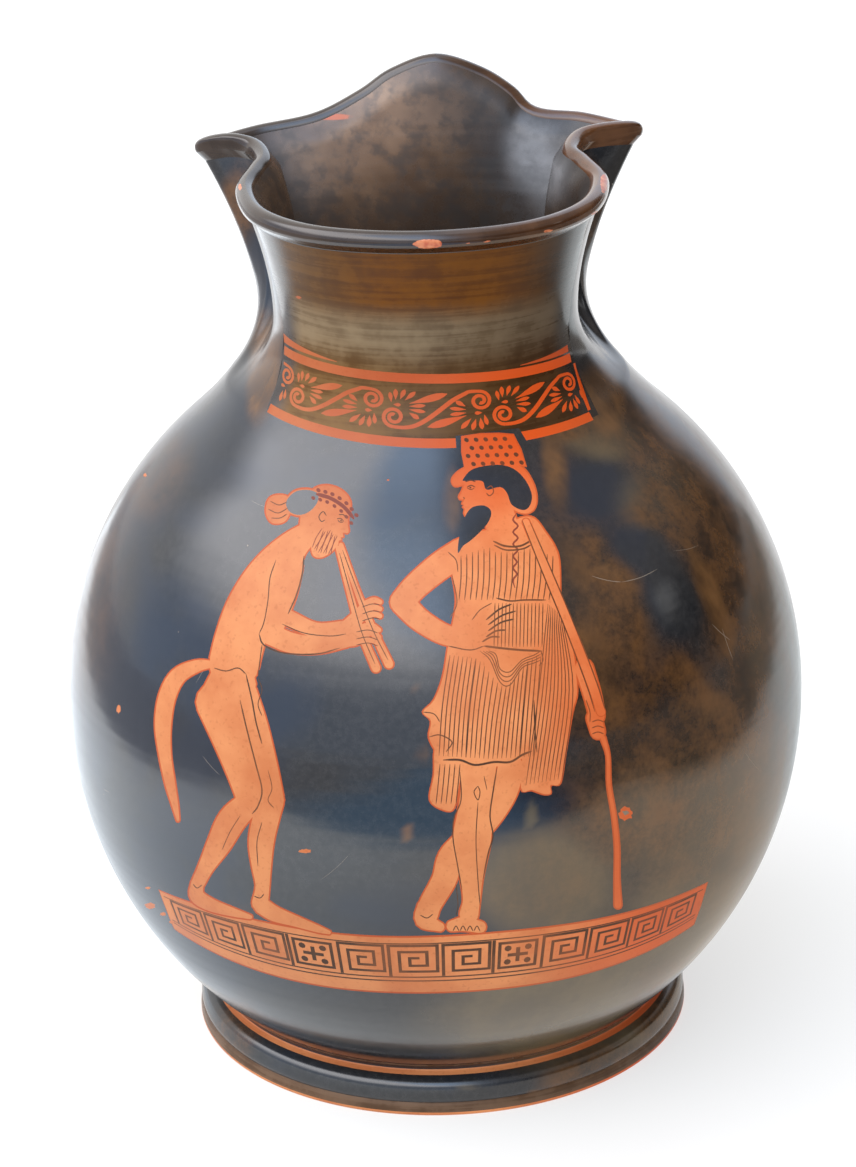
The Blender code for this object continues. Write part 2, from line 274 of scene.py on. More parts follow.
# Least half-width of a limb, points round its ends and round a dot, and corners of a worn fleck
THINNEST = 0.3
END_POINTS = 14
DOT_POINTS = 10
FLECK_POINTS = 18
SCRATCH_POINTS = 7
FINE_SCRATCHES = 30


def eye_frame():
    """Place of the eye, and its right, up and forward directions."""
    axis = Vector((0.0, AXIS_BACK, 0.0))
    back = EYE_DISTANCE * math.cos(EYE_ELEVATION)
    eye = Vector((0.0, -back, AIM_HEIGHT + EYE_DISTANCE * math.sin(EYE_ELEVATION))) + axis
    ahead = (Vector((AIM_ACROSS, 0.0, AIM_HEIGHT)) + axis - eye).normalized()
    right = ahead.cross(Vector((0.0, 0.0, 1.0))).normalized()
    up = right.cross(ahead)
    turned_right = right * math.cos(EYE_TURN) + up * math.sin(EYE_TURN)
    turned_up = up * math.cos(EYE_TURN) - right * math.sin(EYE_TURN)
    return eye, turned_right, turned_up, ahead


def onto_belly(points):
    """Wraps points of the drawing, as seen from the front, onto the wall: angle and way along it."""
    eye, right, up, ahead = (np.array(v) for v in eye_frame())
    points = np.asarray(points, float)
    across = (points[:, 0] - PICTURE_WIDTH / 2) / STEPS_PER_DISTANCE
    down = (points[:, 1] - PICTURE_HEIGHT / 2) / STEPS_PER_DISTANCE
    sight = unit_length(ahead + across[:, None] * right - down[:, None] * up)
    eye = eye - np.array([0.0, AXIS_BACK, 0.0])
    nearest = -(eye[0] * sight[:, 0] + eye[1] * sight[:, 1]) / (sight[:, 0] ** 2 + sight[:, 1] ** 2)
    near = nearest - 1.5 * BELLY_RADIUS
    far = nearest.copy()
    for _ in range(WRAP_HALVINGS):
        middle = (near + far) / 2
        place = eye + middle[:, None] * sight
        outside = np.hypot(place[:, 0], place[:, 1]) > wall_radius(place[:, 2])
        near = np.where(outside, middle, near)
        far = np.where(outside, far, middle)
    place = eye + far[:, None] * sight
    angle = np.arctan2(place[:, 0], -place[:, 1])
    return np.stack([angle * FRONT, SKIN.from_height(place[:, 2])], -1)


def as_seen(places):
    """Where points of the jug stand in the drawing, as seen from the front."""
    eye, right, up, ahead = (np.array(v) for v in eye_frame())
    away = places - eye
    depth = away @ ahead
    return np.stack([PICTURE_WIDTH / 2 + STEPS_PER_DISTANCE * (away @ right) / depth,
                     PICTURE_HEIGHT / 2 - STEPS_PER_DISTANCE * (away @ up) / depth], -1)


# Kiln and soil stains seen from the front, with a painted reflection and a partly painted one among them: x,
# y, half-width, half-height, lean in degrees, strength
BROWN_STAINS_AND_REFLECTION = [
    (700, 610, 175, 330, 0, 0.95), (612, 630, 60, 80, 0, 1.0), (692, 706, 80, 40, -10, 1.0),
    (600, 572, 46, 20, 5, 1.0), (700, 480, 60, 60, 0, 0.7), (560, 420, 60, 26, 10, 0.9),
    # The brown spot at 262, 330 on the neck's left side: partly the slip's own brown, partly a painted
    # reflection.
    (262, 330, 40, 26, 0, 0.6), (152, 470, 44, 60, 20, 0.45), (232, 910, 40, 12, 10, 0.3),
    (600, 1072, 70, 30, -20, 0.9), (640, 820, 90, 60, 0, 0.8), (236, 215, 24, 62, 12, 0.85),
    (596, 212, 20, 60, -12, 0.85), (230, 1040, 30, 50, 20, 0.7), (684, 1010, 60, 60, 0, 1.0),
    (546, 884, 86, 62, 0, 0.4),
]
DARK_STAINS = [
    (672, 600, 34, 62, -20, 1.0), (640, 548, 40, 26, 30, 1.0), (600, 488, 44, 46, -20, 0.95),
    (712, 668, 18, 42, -25, 0.55), (655, 650, 18, 34, 0, 0.4),
]
OLIVE_STAINS_AND_REFLECTION = [
    (668, 486, 64, 40, -30, 0.55), (600, 1000, 190, 66, -8, 1.0), (700, 930, 80, 80, -30, 1.0),
    (690, 820, 90, 70, 0, 0.8), (768, 620, 26, 120, 0, 0.9), (467, 1087, 14, 4, 0, 0.5),
    # The olive spot at 536, 160 lies on the inner back wall: a pale painted reflection there, not a stain.
    (532, 816, 5, 15, 0, 0.9), (598, 436, 50, 26, 15, 0.8), (536, 160, 28, 44, -25, 0.6),
    (546, 884, 86, 62, 0, 0.85),
]
ORANGE_STAINS = [
    (712, 600, 12, 64, -22, 0.95), (716, 706, 26, 18, 0, 0.5), (422, 754, 6, 15, 0, 1.0),
    (408, 833, 8, 7, 0, 1.0), (416, 688, 6, 8, 0, 0.6), (619, 1063, 8, 6, 0, 0.8),
    (535, 1092, 9, 3, 0, 0.8), (602, 570, 20, 7, 8, 0.6), (555, 468, 15, 50, -8, 0.7),
    (576, 566, 15, 46, -22, 0.6), (452, 500, 11, 40, 0, 0.5), (264, 376, 18, 52, 8, 0.9),
    (604, 398, 22, 44, -10, 1.0), (600, 655, 14, 70, -18, 0.45),
]
LIP_CHIPS = [
    (428.5, 244, 15, 4.6, 0, 1.0), (466, 243, 4, 1.2, 0, 0.9), (486, 241.5, 4, 1.2, -5, 0.9),
    (548, 231, 5, 1.4, -10, 0.9), (595, 213, 4, 1.6, -25, 0.9), (604, 183, 3.6, 9.5, 0, 1.0),
    (240, 187, 1.6, 3.5, 0, 1.0),
]
# The same on the sides and back: place, reach and strength
BACK_STAINS = [
    ((-0.082, -0.010, 0.120), (0.030, 0.040, 0.034), 0.5),
    ((0.050, 0.070, 0.100), (0.050, 0.040, 0.040), 0.7),
    ((-0.045, 0.072, 0.066), (0.045, 0.040, 0.028), 0.6),
    ((0.086, 0.020, 0.070), (0.024, 0.040, 0.030), 0.5),
    ((0.0, 0.090, 0.150), (0.020, 0.030, 0.016), 0.6),
]
STAIN_EDGE = 1.35
CHIP_EDGE = 1.5


def stains(places, normals):
    """Brown, olive and orange stains and chips at points of the jug, each from 0 to 1; one spot is a painted
    reflection, another partly one.
    """
    seen = as_seen(places)
    towards = unit_length(np.array(eye_frame()[0]) - places)
    facing = eased((towards * normals).sum(1) / 0.25)

    def reach(x, y, wide, high, lean):
        c, s = math.cos(math.radians(lean)), math.sin(math.radians(lean))
        dx, dy = seen[:, 0] - x, seen[:, 1] - y
        return np.hypot((dx * c + dy * s) / wide, (dy * c - dx * s) / high)

    out = np.zeros((len(places), 4))
    for channel, table in enumerate((BROWN_STAINS_AND_REFLECTION, OLIVE_STAINS_AND_REFLECTION, ORANGE_STAINS, LIP_CHIPS)):
        for *spot, strength in table:
            if table is LIP_CHIPS:
                mask = np.clip(CHIP_EDGE - reach(*spot), 0.0, 1.0) * (facing > 0.5)
            else:
                mask = eased(STAIN_EDGE - reach(*spot)) * facing
            out[:, channel] = np.maximum(out[:, channel], strength * mask)
    for *spot, strength in DARK_STAINS:
        out[:, 0] *= 1.0 - strength * eased(STAIN_EDGE - reach(*spot))
    for place, size, strength in BACK_STAINS:
        away = np.linalg.norm((places - place) / size, axis=1)
        out[:, 0] = np.maximum(out[:, 0], strength * eased(STAIN_EDGE - away))
    return out


def oval(x, y, wide, high, count, lean=0.0):
    """Points round an oval; its half-width and half-height may differ from point to point."""
    angles = np.linspace(0.0, 2.0 * math.pi, count, endpoint=False)
    a, b = wide * np.cos(angles), high * np.sin(angles)
    c, s = math.cos(lean), math.sin(lean)
    return np.stack([x + a * c - b * s, y + a * s + b * c], -1)


def both_edges(line, widths):
    """Left and then right edge of a band laid along a line, with its half-width at each point."""
    across = np.gradient(line, axis=0)
    across = unit_length(np.stack([-across[:, 1], across[:, 0]], -1), 1e-9) * widths[:, None]
    return np.concatenate([line + across, line - across])


def runs_left(ring):
    """Whether a ring of flat points runs round to the left."""
    ahead = np.roll(ring, -1, axis=0)
    return (ring[:, 0] * ahead[:, 1] - ahead[:, 0] * ring[:, 1]).sum() > 0.0


def grown(ring, amount):
    """Moves a ring outwards from its middle by an amount."""
    ring = np.array(ring, float)
    along = np.roll(ring, -1, axis=0) - np.roll(ring, 1, axis=0)
    across = unit_length(np.stack([along[:, 1], -along[:, 0]], -1), 1e-9)
    return ring + across * amount * (1.0 if runs_left(ring) else -1.0)


def strip_faces(count):
    """Faces between two rows of so many points."""
    return [(i, i + 1, count + i + 1, count + i) for i in range(count - 1)]


class Painting:
    """Shapes laid on the unrolled wall, one over another."""

    def __init__(self):
        self.points, self.faces, self.kinds = [np.zeros((0, 2))], [], []
        self.count = 0

    def lay(self, kind, points, faces):
        """Puts down faces of one paint; each turns the same way round."""
        points = np.asarray(points, float)
        for face in faces:
            order = list(face)
            if not runs_left(points[order]):
                order.reverse()
            self.faces.append([self.count + i for i in order])
            self.kinds.append(kind)
        self.points.append(points)
        self.count += len(points)

    def lay_ring(self, kind, points):
        self.lay(kind, onto_belly(points), [range(len(points))])

    def shape(self, kind, points, grow=0.0, steps=4):
        """A filled smooth outline of the drawing, moved outwards by so much."""
        self.lay_ring(kind, smooth_through(grown(points, grow), steps, closed=True))

    def corners(self, kind, points, grow=0.0):
        """A filled outline with sharp corners, and points along its sides so that they bend with the wall."""
        points = grown(points, grow)
        sides = []
        for a, b in zip(points, np.roll(points, -1, axis=0)):
            count = max(1, int(np.linalg.norm(b - a) / 10))
            sides.append(a + (b - a) * (np.arange(count) / count)[:, None])
        self.lay_ring(kind, np.concatenate(sides))

    def limb(self, kind, points, grow=0.0, steps=5):
        """An arm, leg or other long shape: x, y and half-width at each point, with round ends."""
        line = smooth_through(points, steps)
        widths = np.maximum(line[:, 2] + grow, THINNEST)
        self.lay(kind, onto_belly(both_edges(line[:, :2], widths)), strip_faces(len(line)))
        for x, y, width in (line[0], line[-1]):
            size = max(width + grow, THINNEST)
            self.lay_ring(kind, oval(x, y, size, size, END_POINTS))

    def line(self, points, width=0.74, kind=LINE, steps=5):
        """A brush line that thins a little at both ends."""
        line = smooth_through(points, steps)
        t = np.linspace(0.0, 1.0, len(line))
        taper = np.clip(8.0 * np.minimum(t, 1.0 - t) + 0.35, 0.0, 1.0)
        self.lay(kind, onto_belly(both_edges(line, width * taper)), strip_faces(len(line)))

    def lines(self, table, put=np.array):
        """Brush lines from rows of half-width and points, each put in its place."""
        for width, points in table:
            self.line(put(points), width)

    def scratch(self, ends, width):
        """A thin pale stroke between two points of the unrolled wall, a little bent."""
        t = np.linspace(0.0, 1.0, SCRATCH_POINTS)[:, None]
        a, b = (np.array(e, float) for e in ends)
        across = np.array([a[1] - b[1], b[0] - a[0]])
        across /= np.linalg.norm(across)
        line = a + (b - a) * t + across * np.sin(math.pi * t) * 0.03 * np.linalg.norm(b - a)
        wide = across * width * np.clip(6.0 * np.minimum(t, 1.0 - t) + 0.2, 0.0, 1.0)
        self.lay(PALE, np.concatenate([line + wide, line - wide]), strip_faces(SCRATCH_POINTS))

    def dot(self, kind, x, y, size, squeeze=1.0, lean=0.0):
        self.lay_ring(kind, oval(x, y, size, size * squeeze, DOT_POINTS, lean))


# Picture


def head_place(x, y, height, tilt, facing):
    """Returns a placing of head proportions: 0 to 1 from crown to chin, nose ahead."""
    c, s = math.cos(tilt), math.sin(tilt)

    def put(points):
        points = np.array(points)
        u = (points[:, 0] - 0.45) * height * facing
        v = (points[:, 1] - 0.5) * height
        return np.stack([x + u * c - v * s, y + u * s + v * c], -1)

    return put


FACE = [
    (0.40, 0.00), (0.58, 0.03), (0.71, 0.12), (0.765, 0.25), (0.785, 0.38), (0.835, 0.50), (0.885, 0.585),
    (0.875, 0.625), (0.805, 0.645), (0.825, 0.680), (0.840, 0.710), (0.805, 0.735), (0.832, 0.762),
    (0.800, 0.800), (0.815, 0.860), (0.785, 0.930), (0.690, 0.975), (0.560, 0.930), (0.450, 0.900),
    (0.300, 0.950), (0.140, 0.900), (0.060, 0.720), (0.010, 0.520), (0.010, 0.330), (0.080, 0.150),
    (0.220, 0.040),
]
PIPER_HEAD = (327, 516, 60, math.radians(24), 1)
PIPER_BEARD = [
    (0.50, 0.66), (0.62, 0.64), (0.76, 0.68), (0.80, 0.80), (0.78, 0.98), (0.66, 1.16), (0.52, 1.20),
    (0.42, 1.08), (0.40, 0.88), (0.42, 0.72),
]
PIPER_HAIR = [
    (289, 497), (297, 491), (309, 490), (318, 494), (317, 503), (310, 511), (300, 515), (290, 512),
    (286, 504),
]
PIPER_KNOT = [(268, 500), (276, 495), (288, 497), (290, 512), (284, 522), (272, 523), (266, 513)]
# Limbs and pipes: x, y and half-width at each point
PIPER_LIMBS = {
    "tail": [(214, 664, 3), (197, 666, 6), (178, 676, 8), (167, 697, 8.5), (163, 725, 8), (165, 755, 6),
             (170, 783, 5), (175, 805, 3.2), (178, 820, 1.4)],
    "back thigh": [(216, 702, 20), (230, 738, 17.5), (242, 772, 15), (250, 802, 12)],
    "back shin": [(250, 802, 12), (232, 820, 14), (219, 844, 12), (206, 867, 7.8), (198, 883, 6.6)],
    "back foot": [(197, 884, 6.3), (197, 896, 7.2), (211, 905, 6.3), (232, 912, 4.4), (250, 917, 2.2)],
    "front thigh": [(238, 694, 19), (250, 730, 18.5), (262, 770, 16), (271, 800, 13)],
    "front shin": [(271, 800, 13), (263.5, 828, 13), (261, 846, 12.2), (261.5, 867, 9.5), (262.5, 886, 7),
                   (260, 903, 8)],
    "front foot": [(262, 906, 8), (275, 914, 7.5), (295, 921, 5.5), (318, 929, 3.5), (329, 932.5, 1.8)],
    "hips": [(232, 684, 24), (224, 704, 26)],
    "body": [(234, 664, 25), (240, 640, 25), (250, 612, 25), (266, 585, 25), (281, 562, 21), (294, 545, 15),
             (310, 532, 11), (322, 524, 10)],
    "upper arm": [(290, 566, 13), (284, 594, 12.5), (275, 620, 11.5), (270, 634, 10.5)],
    "lower arm": [(270, 634, 10.5), (292, 643, 10), (320, 645, 8.5), (346, 640, 7.5)],
    "far arm": [(288, 618, 8), (316, 630, 7.5), (346, 627, 6.5)],
    "near pipe": [(341, 545, 2.4), (356, 588, 3.0), (373, 630, 3.8), (389, 664, 4.4)],
    "far pipe": [(338, 548, 2.4), (349, 590, 3.0), (361, 632, 3.8), (376, 668, 4.4)],
    "near hand": [(344, 639, 8), (355, 636, 9.5), (366, 630, 7)],
    "far hand": [(346, 627, 6.5), (358, 617, 7), (368, 606, 6.5)],
}


def piper_fill(p, kind, grow):
    """Arms, legs, body, tail and pipes of the stooping piper."""
    for limb in PIPER_LIMBS.values():
        p.limb(kind, limb, grow)
    for y in (600, 607, 614):
        p.limb(kind, [(366, y + 3, 2.8), (374, y, 2.8), (380, y + 2, 2.4)], grow)
    for y in (626, 633, 640):
        p.limb(kind, [(362, y + 2, 2.8), (372, y, 2.8), (379, y + 4, 2.4)], grow)


def piper_head(p, kind, grow):
    put = head_place(*PIPER_HEAD)
    p.shape(kind, put(FACE), grow, 3)
    p.shape(kind, PIPER_HAIR, grow + 1.0)
    p.shape(kind, PIPER_KNOT, grow)
    p.shape(kind, put(PIPER_BEARD), grow)


# Brush lines: half-width and points, on the knot of hair, about the eye and ear, and on the body
KNOT_LINES = [
    (0.5, [(270, 501), (279, 505), (287, 502)]),
    (0.5, [(268, 509), (278, 513), (288, 508)]),
    (0.5, [(271, 518), (280, 518), (287, 514)]),
]
PIPER_EYE_LINES = [
    (0.55, [(0.62, 0.40), (0.69, 0.37), (0.76, 0.40)]),
    (0.5, [(0.62, 0.475), (0.68, 0.445), (0.745, 0.47)]),
    (0.45, [(0.64, 0.490), (0.69, 0.505), (0.74, 0.48)]),
]
PIPER_EYE = (0.695, 0.474)
PIPER_EAR = [(0.44, 0.50), (0.36, 0.46), (0.33, 0.56), (0.40, 0.62), (0.45, 0.57)]
PIPER_BODY_LINES = [
    (0.74, [(304, 556), (302, 575), (296, 596), (288, 614)]),
    (0.5, [(276, 560), (270, 578), (268, 600), (264, 622), (259, 634)]),
    (0.74, [(259, 634), (264, 645), (284, 653), (316, 654), (340, 648)]),
    (0.5, [(282, 624), (304, 633), (330, 636), (346, 634)]),
    (0.5, [(262, 645), (260, 660), (258, 676)]),
    (0.6, [(214, 668), (226, 671), (238, 668), (246, 674)]),
    (0.74, [(246, 674), (252, 700), (256, 722), (262, 744)]),
    (0.45, [(258, 678), (262, 690), (258, 704), (262, 716)]),
    (0.74, [(240, 700), (247, 730), (256, 765), (262, 790), (258, 806), (252, 814)]),
    (0.45, [(268, 770), (272, 788), (268, 800), (274, 808)]),
    (0.45, [(240, 816), (230, 832), (222, 850)]),
    (0.45, [(262, 822), (257, 842), (258, 866)]),
    (0.5, [(254, 896), (260, 898), (264, 894)]),
    (0.5, [(193, 884), (197, 888), (202, 885)]),
    (0.45, [(342.5, 550), (357, 589), (373, 630), (388, 660)]),
    (0.45, [(339.5, 553), (350, 591), (362, 633), (375, 664)]),
]


def piper_marks(p):
    """Dark hair, and the thin lines within the piper."""
    put = head_place(*PIPER_HEAD)
    p.shape(SLIP, PIPER_HAIR)
    wreath = smooth_through([(316, 494), (330, 498), (344, 507), (354, 519)], 2)
    p.line(wreath, 1.9, RED, 3)
    for x, y in wreath:
        p.dot(RED, x + 2.4, y - 3.8, 2.4, 0.8, 0.7)
        p.dot(RED, x - 2.8, y + 4.0, 2.2, 0.8, 0.7)
    p.lines(KNOT_LINES)
    p.lines(PIPER_EYE_LINES, put)
    p.dot(LINE, *put([PIPER_EYE])[0], 0.9)
    p.line(put(PIPER_EAR), 0.5)
    for i in range(9):
        t = i / 8
        a, b = put([(0.46 + 0.28 * t, 0.72 + 0.03 * math.sin(9 * t)),
                    (0.44 + 0.33 * t, 1.12 - 0.10 * abs(t - 0.4))])
        wave = 1.2 if i % 2 else -1.2
        p.line([a, (a + b) / 2 + (wave, 0.0), b], 0.42, RED)
    p.lines(PIPER_BODY_LINES)
    for y in (604, 611, 618):
        p.line([(362, y + 3), (372, y), (380, y + 1)], 0.45)
    for y in (630, 637, 643):
        p.line([(356, y + 2), (368, y), (378, y + 3)], 0.45)


WEARER_HEAD = (485, 490, 60, math.radians(-3), -1)
WEARER_LEGS = {
    "back leg": [(511, 768, 13), (504, 792, 13), (488, 817, 13), (467, 840, 12.5), (451, 858, 13),
                 (444, 880, 12), (431, 903, 11), (427, 914, 11)],
    "back foot": [(427, 908, 10), (424, 920, 8.5), (440, 927, 4.5)],
    "front leg": [(477.5, 760, 19.5), (477, 788, 16.5), (474, 811, 16), (472.5, 834, 19), (471.5, 854, 16.5),
                  (471.5, 877, 11.5), (471.5, 900, 8.5), (469, 914, 9.5)],
    "front foot": [(452, 926, 5.5), (464, 924, 7), (480, 927, 6)],
}
WEARER_DRESS = {
    "shirt": [(470, 533), (456, 545), (452, 570), (456, 602), (449, 640), (443, 676), (434, 700), (423, 712),
              (431, 721), (429, 737), (437, 752), (452, 762), (472, 765), (490, 767), (510, 764), (530, 754),
              (540, 745), (560, 742), (566, 700), (560, 640), (560, 590), (559, 560), (554, 545), (546, 533),
              (534, 518), (520, 518), (500, 528)],
    "mantle": [(546, 590), (562, 612), (573, 650), (577, 691), (572, 713), (565, 754), (560, 783),
               (550.6, 785), (550.6, 793), (544, 794), (532, 790), (521, 788), (524, 740), (532, 690)],
    "near end": [(437, 744), (434, 775), (430, 800), (444, 810), (454, 808), (460, 780), (466, 752)],
}
WEARER_ARMS_AND_STICK = {
    "upper arm": [(462, 552, 14), (440, 566, 13.5), (416, 586, 12.5), (402, 602, 12)],
    "lower arm": [(402, 602, 12), (420, 620, 11), (446, 635, 10), (470, 638, 9)],
    "hand": [(468, 637, 9.5), (482, 628, 9.5)],
    "far arm": [(584, 668, 9), (592, 694, 8.5), (597, 716, 7.5)],
    "far hand": [(594, 718, 7.5), (598, 732, 7)],
    "lower stick": [(603, 738, 2.4), (608, 756, 1.5), (609, 785, 1.7), (614, 816, 1.9), (617, 847, 2.1),
                    (617, 879, 2.4), (618, 905, 3.4)],
}
WEARER_NECK = [(498, 510, 15), (502, 526, 16), (506, 542, 18)]
WEARER_CAP = [
    (452, 480), (458, 472), (470, 466), (488, 462), (508, 462), (523, 468), (533, 483), (536.5, 498),
    (534, 509), (526, 513.5), (516, 511), (508, 505), (500, 500), (490, 494), (480, 488), (468, 484),
    (455, 486),
]
WEARER_HAT = [
    (462, 437), (480, 434.5), (498, 434), (513, 435), (520, 449), (526, 466), (506, 463.5), (486, 464),
    (465, 468), (462.5, 452),
]


def wearer_fill(p, kind, grow):
    """The standing man in a pleated shirt and mantle, on his stick."""
    for limb in WEARER_LEGS.values():
        p.limb(kind, limb, grow)
    for cloth in WEARER_DRESS.values():
        p.shape(kind, cloth, grow)
    for limb in WEARER_ARMS_AND_STICK.values():
        p.limb(kind, limb, grow)


def wearer_head(p, kind, grow):
    p.shape(kind, head_place(*WEARER_HEAD)(FACE), grow, 3)
    p.limb(kind, WEARER_NECK, grow)
    p.shape(kind, WEARER_CAP, grow)
    p.corners(kind, WEARER_HAT, grow)


WEARER_HAIR = [
    (463, 479.5), (473, 469), (497, 464.7), (514, 469), (526, 481), (532, 495.6), (529, 507), (522, 510),
    (511.5, 504.4), (507, 493), (500, 487), (486.5, 489.7), (482, 481), (466, 481),
]
WEARER_BEARD = [
    (473, 507), (484, 505.5), (491, 511), (489, 521), (480, 532), (470, 541), (463, 546), (458, 553),
    (459, 538), (463, 522), (467, 513),
]
WEARER_EYE_LINES = [
    (0.6, [(0.60, 0.355), (0.68, 0.325), (0.77, 0.345)]),
    (0.55, [(0.61, 0.445), (0.68, 0.410), (0.75, 0.440)]),
    (0.45, [(0.63, 0.460), (0.685, 0.480), (0.745, 0.450)]),
]
WEARER_EYE = (0.69, 0.445)
WEARER_NOSTRIL = [(0.82, 0.60), (0.80, 0.62), (0.815, 0.64)]
WEARER_LIPS = [(0.72, 0.735), (0.77, 0.730), (0.81, 0.737)]
WEARER_EAR = [(0.42, 0.47), (0.34, 0.44), (0.31, 0.54), (0.38, 0.60), (0.43, 0.55)]
WAVY_RED_LINE = [
    (516, 514), (513, 520), (518, 526), (513, 532), (518, 538), (513, 544), (518, 550), (513, 556),
    (517, 562), (513, 568), (517, 574), (513, 580), (515, 588),
]
NECKLINE = [
    (1.0, [(493, 541), (505, 546), (520, 546), (532, 540)]),
    (0.8, [(494, 545), (506, 550), (522, 549), (531, 545)]),
]
BELT_LINES = [
    (0.8, [(496, 598), (510, 601), (524, 600), (546, 600)]),
    (1.1, [(484, 646), (500, 648), (520, 650), (542, 651)]),
]
SHIRT_EDGES = [
    (0.6, [(541, 651), (543, 660), (539, 666)]),
    (1.1, [(443, 760), (460, 760), (475, 765), (494, 762), (510, 762), (522, 755), (532, 751)]),
    (0.7, [(534, 700), (535, 730), (537, 752)]),
    (0.6, [(429, 737), (440, 735), (452, 742), (446, 752)]),
    (0.5, [(423, 712), (434, 714), (440, 722)]),
    (0.5, [(452, 575), (457, 602), (450, 618)]),
    (0.5, [(448, 552), (456, 560), (458, 572)]),
    (0.6, [(448, 646), (470, 650), (484, 646)]),
]
FINGERS = [
    ((486, 620), (512, 604)), ((488, 625), (516, 611)), ((488, 631), (514, 619)), ((486, 637), (506, 630)),
    ((482, 642), (500, 637)),
]
THUMB_AND_LEG_LINES = [
    (0.5, [(472, 620), (480, 610), (492, 603)]),
    (0.6, [(460, 772), (461, 800), (454, 818), (453, 838), (457, 862), (462, 890)]),
    (0.7, [(497, 768), (493, 792), (490, 816), (493, 836), (488, 854), (483, 879)]),
    (0.5, [(478, 786), (474, 792), (478, 800), (480, 792), (478, 786)]),
    (0.5, [(478, 802), (476, 840), (478, 880), (480, 905)]),
    (0.4, [(456, 884), (458, 905), (456, 916)]),
    (0.4, [(484, 776), (487, 790)]),
]
ANKLE = [(420, 915), (427, 918), (433, 914)]
STICK_HALO = [(526, 522, 4.6), (548, 574, 5), (572, 632, 5.2), (592, 684, 5.2), (601, 712, 5)]
STICK = [(526, 522, 3.4), (548, 574, 3.8), (572, 632, 4.2), (592, 684, 4.4), (601, 712, 4.2)]
STICK_EDGES = [
    (0.6, [(522, 520), (543, 574), (567, 633), (587, 686), (595, 712)]),
    (0.6, [(530, 522), (553, 574), (577, 631), (597, 683), (605, 710)]),
]


def wearer_marks(p):
    """Dark hair and beard, stick, pleats and folds."""
    put = head_place(*WEARER_HEAD)
    p.shape(SLIP, WEARER_HAIR)
    p.shape(SLIP, WEARER_BEARD)
    p.lines(WEARER_EYE_LINES, put)
    p.dot(LINE, *put([WEARER_EYE])[0], 1.0)
    p.line(put(WEARER_NOSTRIL), 0.4)
    p.line(put(WEARER_LIPS), 0.5, CLAY)
    p.line(put(WEARER_EAR), 0.55)
    hat_dots(p)
    p.line(WAVY_RED_LINE, 0.95, RED, 3)
    p.lines(NECKLINE)
    pleats(p)
    p.lines(BELT_LINES)
    for i in range(4):
        lift = 4.4 * i
        p.line([(480 + 3 * i, 651), (490 + 2 * i, 660 - 0.4 * lift), (500, 682 - lift), (510, 685 - lift),
                (522, 668 - 0.6 * lift), (534, 663 - 0.6 * lift), (541, 660 - 0.7 * lift)], 0.5)
    p.lines(SHIRT_EDGES)
    for a, b in FINGERS:
        p.line([a, ((a[0] + b[0]) / 2, (a[1] + b[1]) / 2 - 2.5), b], 0.9)
    p.lines(THUMB_AND_LEG_LINES)
    for x in (456, 463, 470, 477):
        p.line([(x - 3, 931), (x, 926), (x + 3, 931)], 0.5)
    p.line(ANKLE, 0.5)
    p.limb(HALO, STICK_HALO)
    p.limb(CLAY, STICK)
    p.lines(STICK_EDGES)
    for y in (722, 728, 734):
        p.line([(592, y), (598, y - 2), (604, y)], 0.5)
    p.line([(586, 700), (590, 712), (590, 722)], 0.5)


def pleats(p):
    """Fine upright lines of the pleated shirt and the mantle."""
    for i in range(17):
        t = i / 16
        top = (461 + 92 * t, 556 - 10 * math.sin(math.pi * t))
        low = (459 + 90 * t, 600)
        start = 552 if 6 <= i <= 10 else top[1]
        p.line([(top[0], start), ((top[0] + low[0]) / 2 + 1.0, 578), low], 0.56)
    for i in range(14):
        x = 495 + 48 * i / 13
        p.line([(x, 603), (x - 0.5, 625), (x - 1, 647)], 0.5)
    for i in range(22):
        t = i / 21
        x = 450 + 91 * t
        y = 655 + 31 * math.exp(-((x - 504) / 19) ** 2) if 474 < x < 541 else 655 + 4 * math.sin(3 * t)
        low = (439 + 94 * t, 759 - 6 * abs(t - 0.55))
        middle = ((x + low[0]) / 2 - 2 * (1 - t), (y + low[1]) / 2)
        p.line([(x, y), middle, low], 0.9 if i in (6, 18) else 0.56)
    for i in range(10):
        t = i / 9
        p.line([(548 + 14 * t, 604 + 12 * t), (539 + 34 * t, 690), (526 + 36 * t, 785 - 6 * t)], 0.5)
    for i in range(5):
        x = 438 + 5 * i
        p.line([(x + 2, 764), (x, 786), (x - 2, 804)], 0.5)


def hat_dots(p):
    """Rows of dots round the hat."""
    for row in range(4):
        for i in range(6):
            x = 466.5 + 9.6 * i + (4.6 if row % 2 else 0.0) + 0.8 * row
            y = 439 + 8.0 * row - 0.3 * i
            if x < 513 + 3.4 * row:
                p.dot(LINE, x, y + 1.0, 2.6, 0.78, 0.6)


# Chips in the slip seen from the front: x, y, half-width and half-height
FLECKS = [
    (118.5, 709, 2.0, 4.4), (145, 475, 1.6, 2.2), (626, 813.5, 7.4, 6.8), (305, 851, 7.0, 2.0),
    (312, 300, 3.0, 1.4), (150, 906, 5.4, 3.2), (163, 914, 3.0, 1.8), (148, 888, 2.6, 1.2),
    (172, 922, 2.8, 1.5), (699, 905, 2.0, 4.0), (560, 655, 1.2, 2.0), (388, 480, 1.2, 1.0),
]
# A painted highlight on the chip beside the stick, laid in pale paint.
CHIP_GLINT = [(622, 811.5), (627, 810.5), (629.5, 813), (625, 815.5)]
LONG_SCRATCHES = [
    ((592, 576), (622, 582)), ((622, 582), (657, 569)), ((712, 624), (730, 640)), ((722, 628), (733, 660)),
]


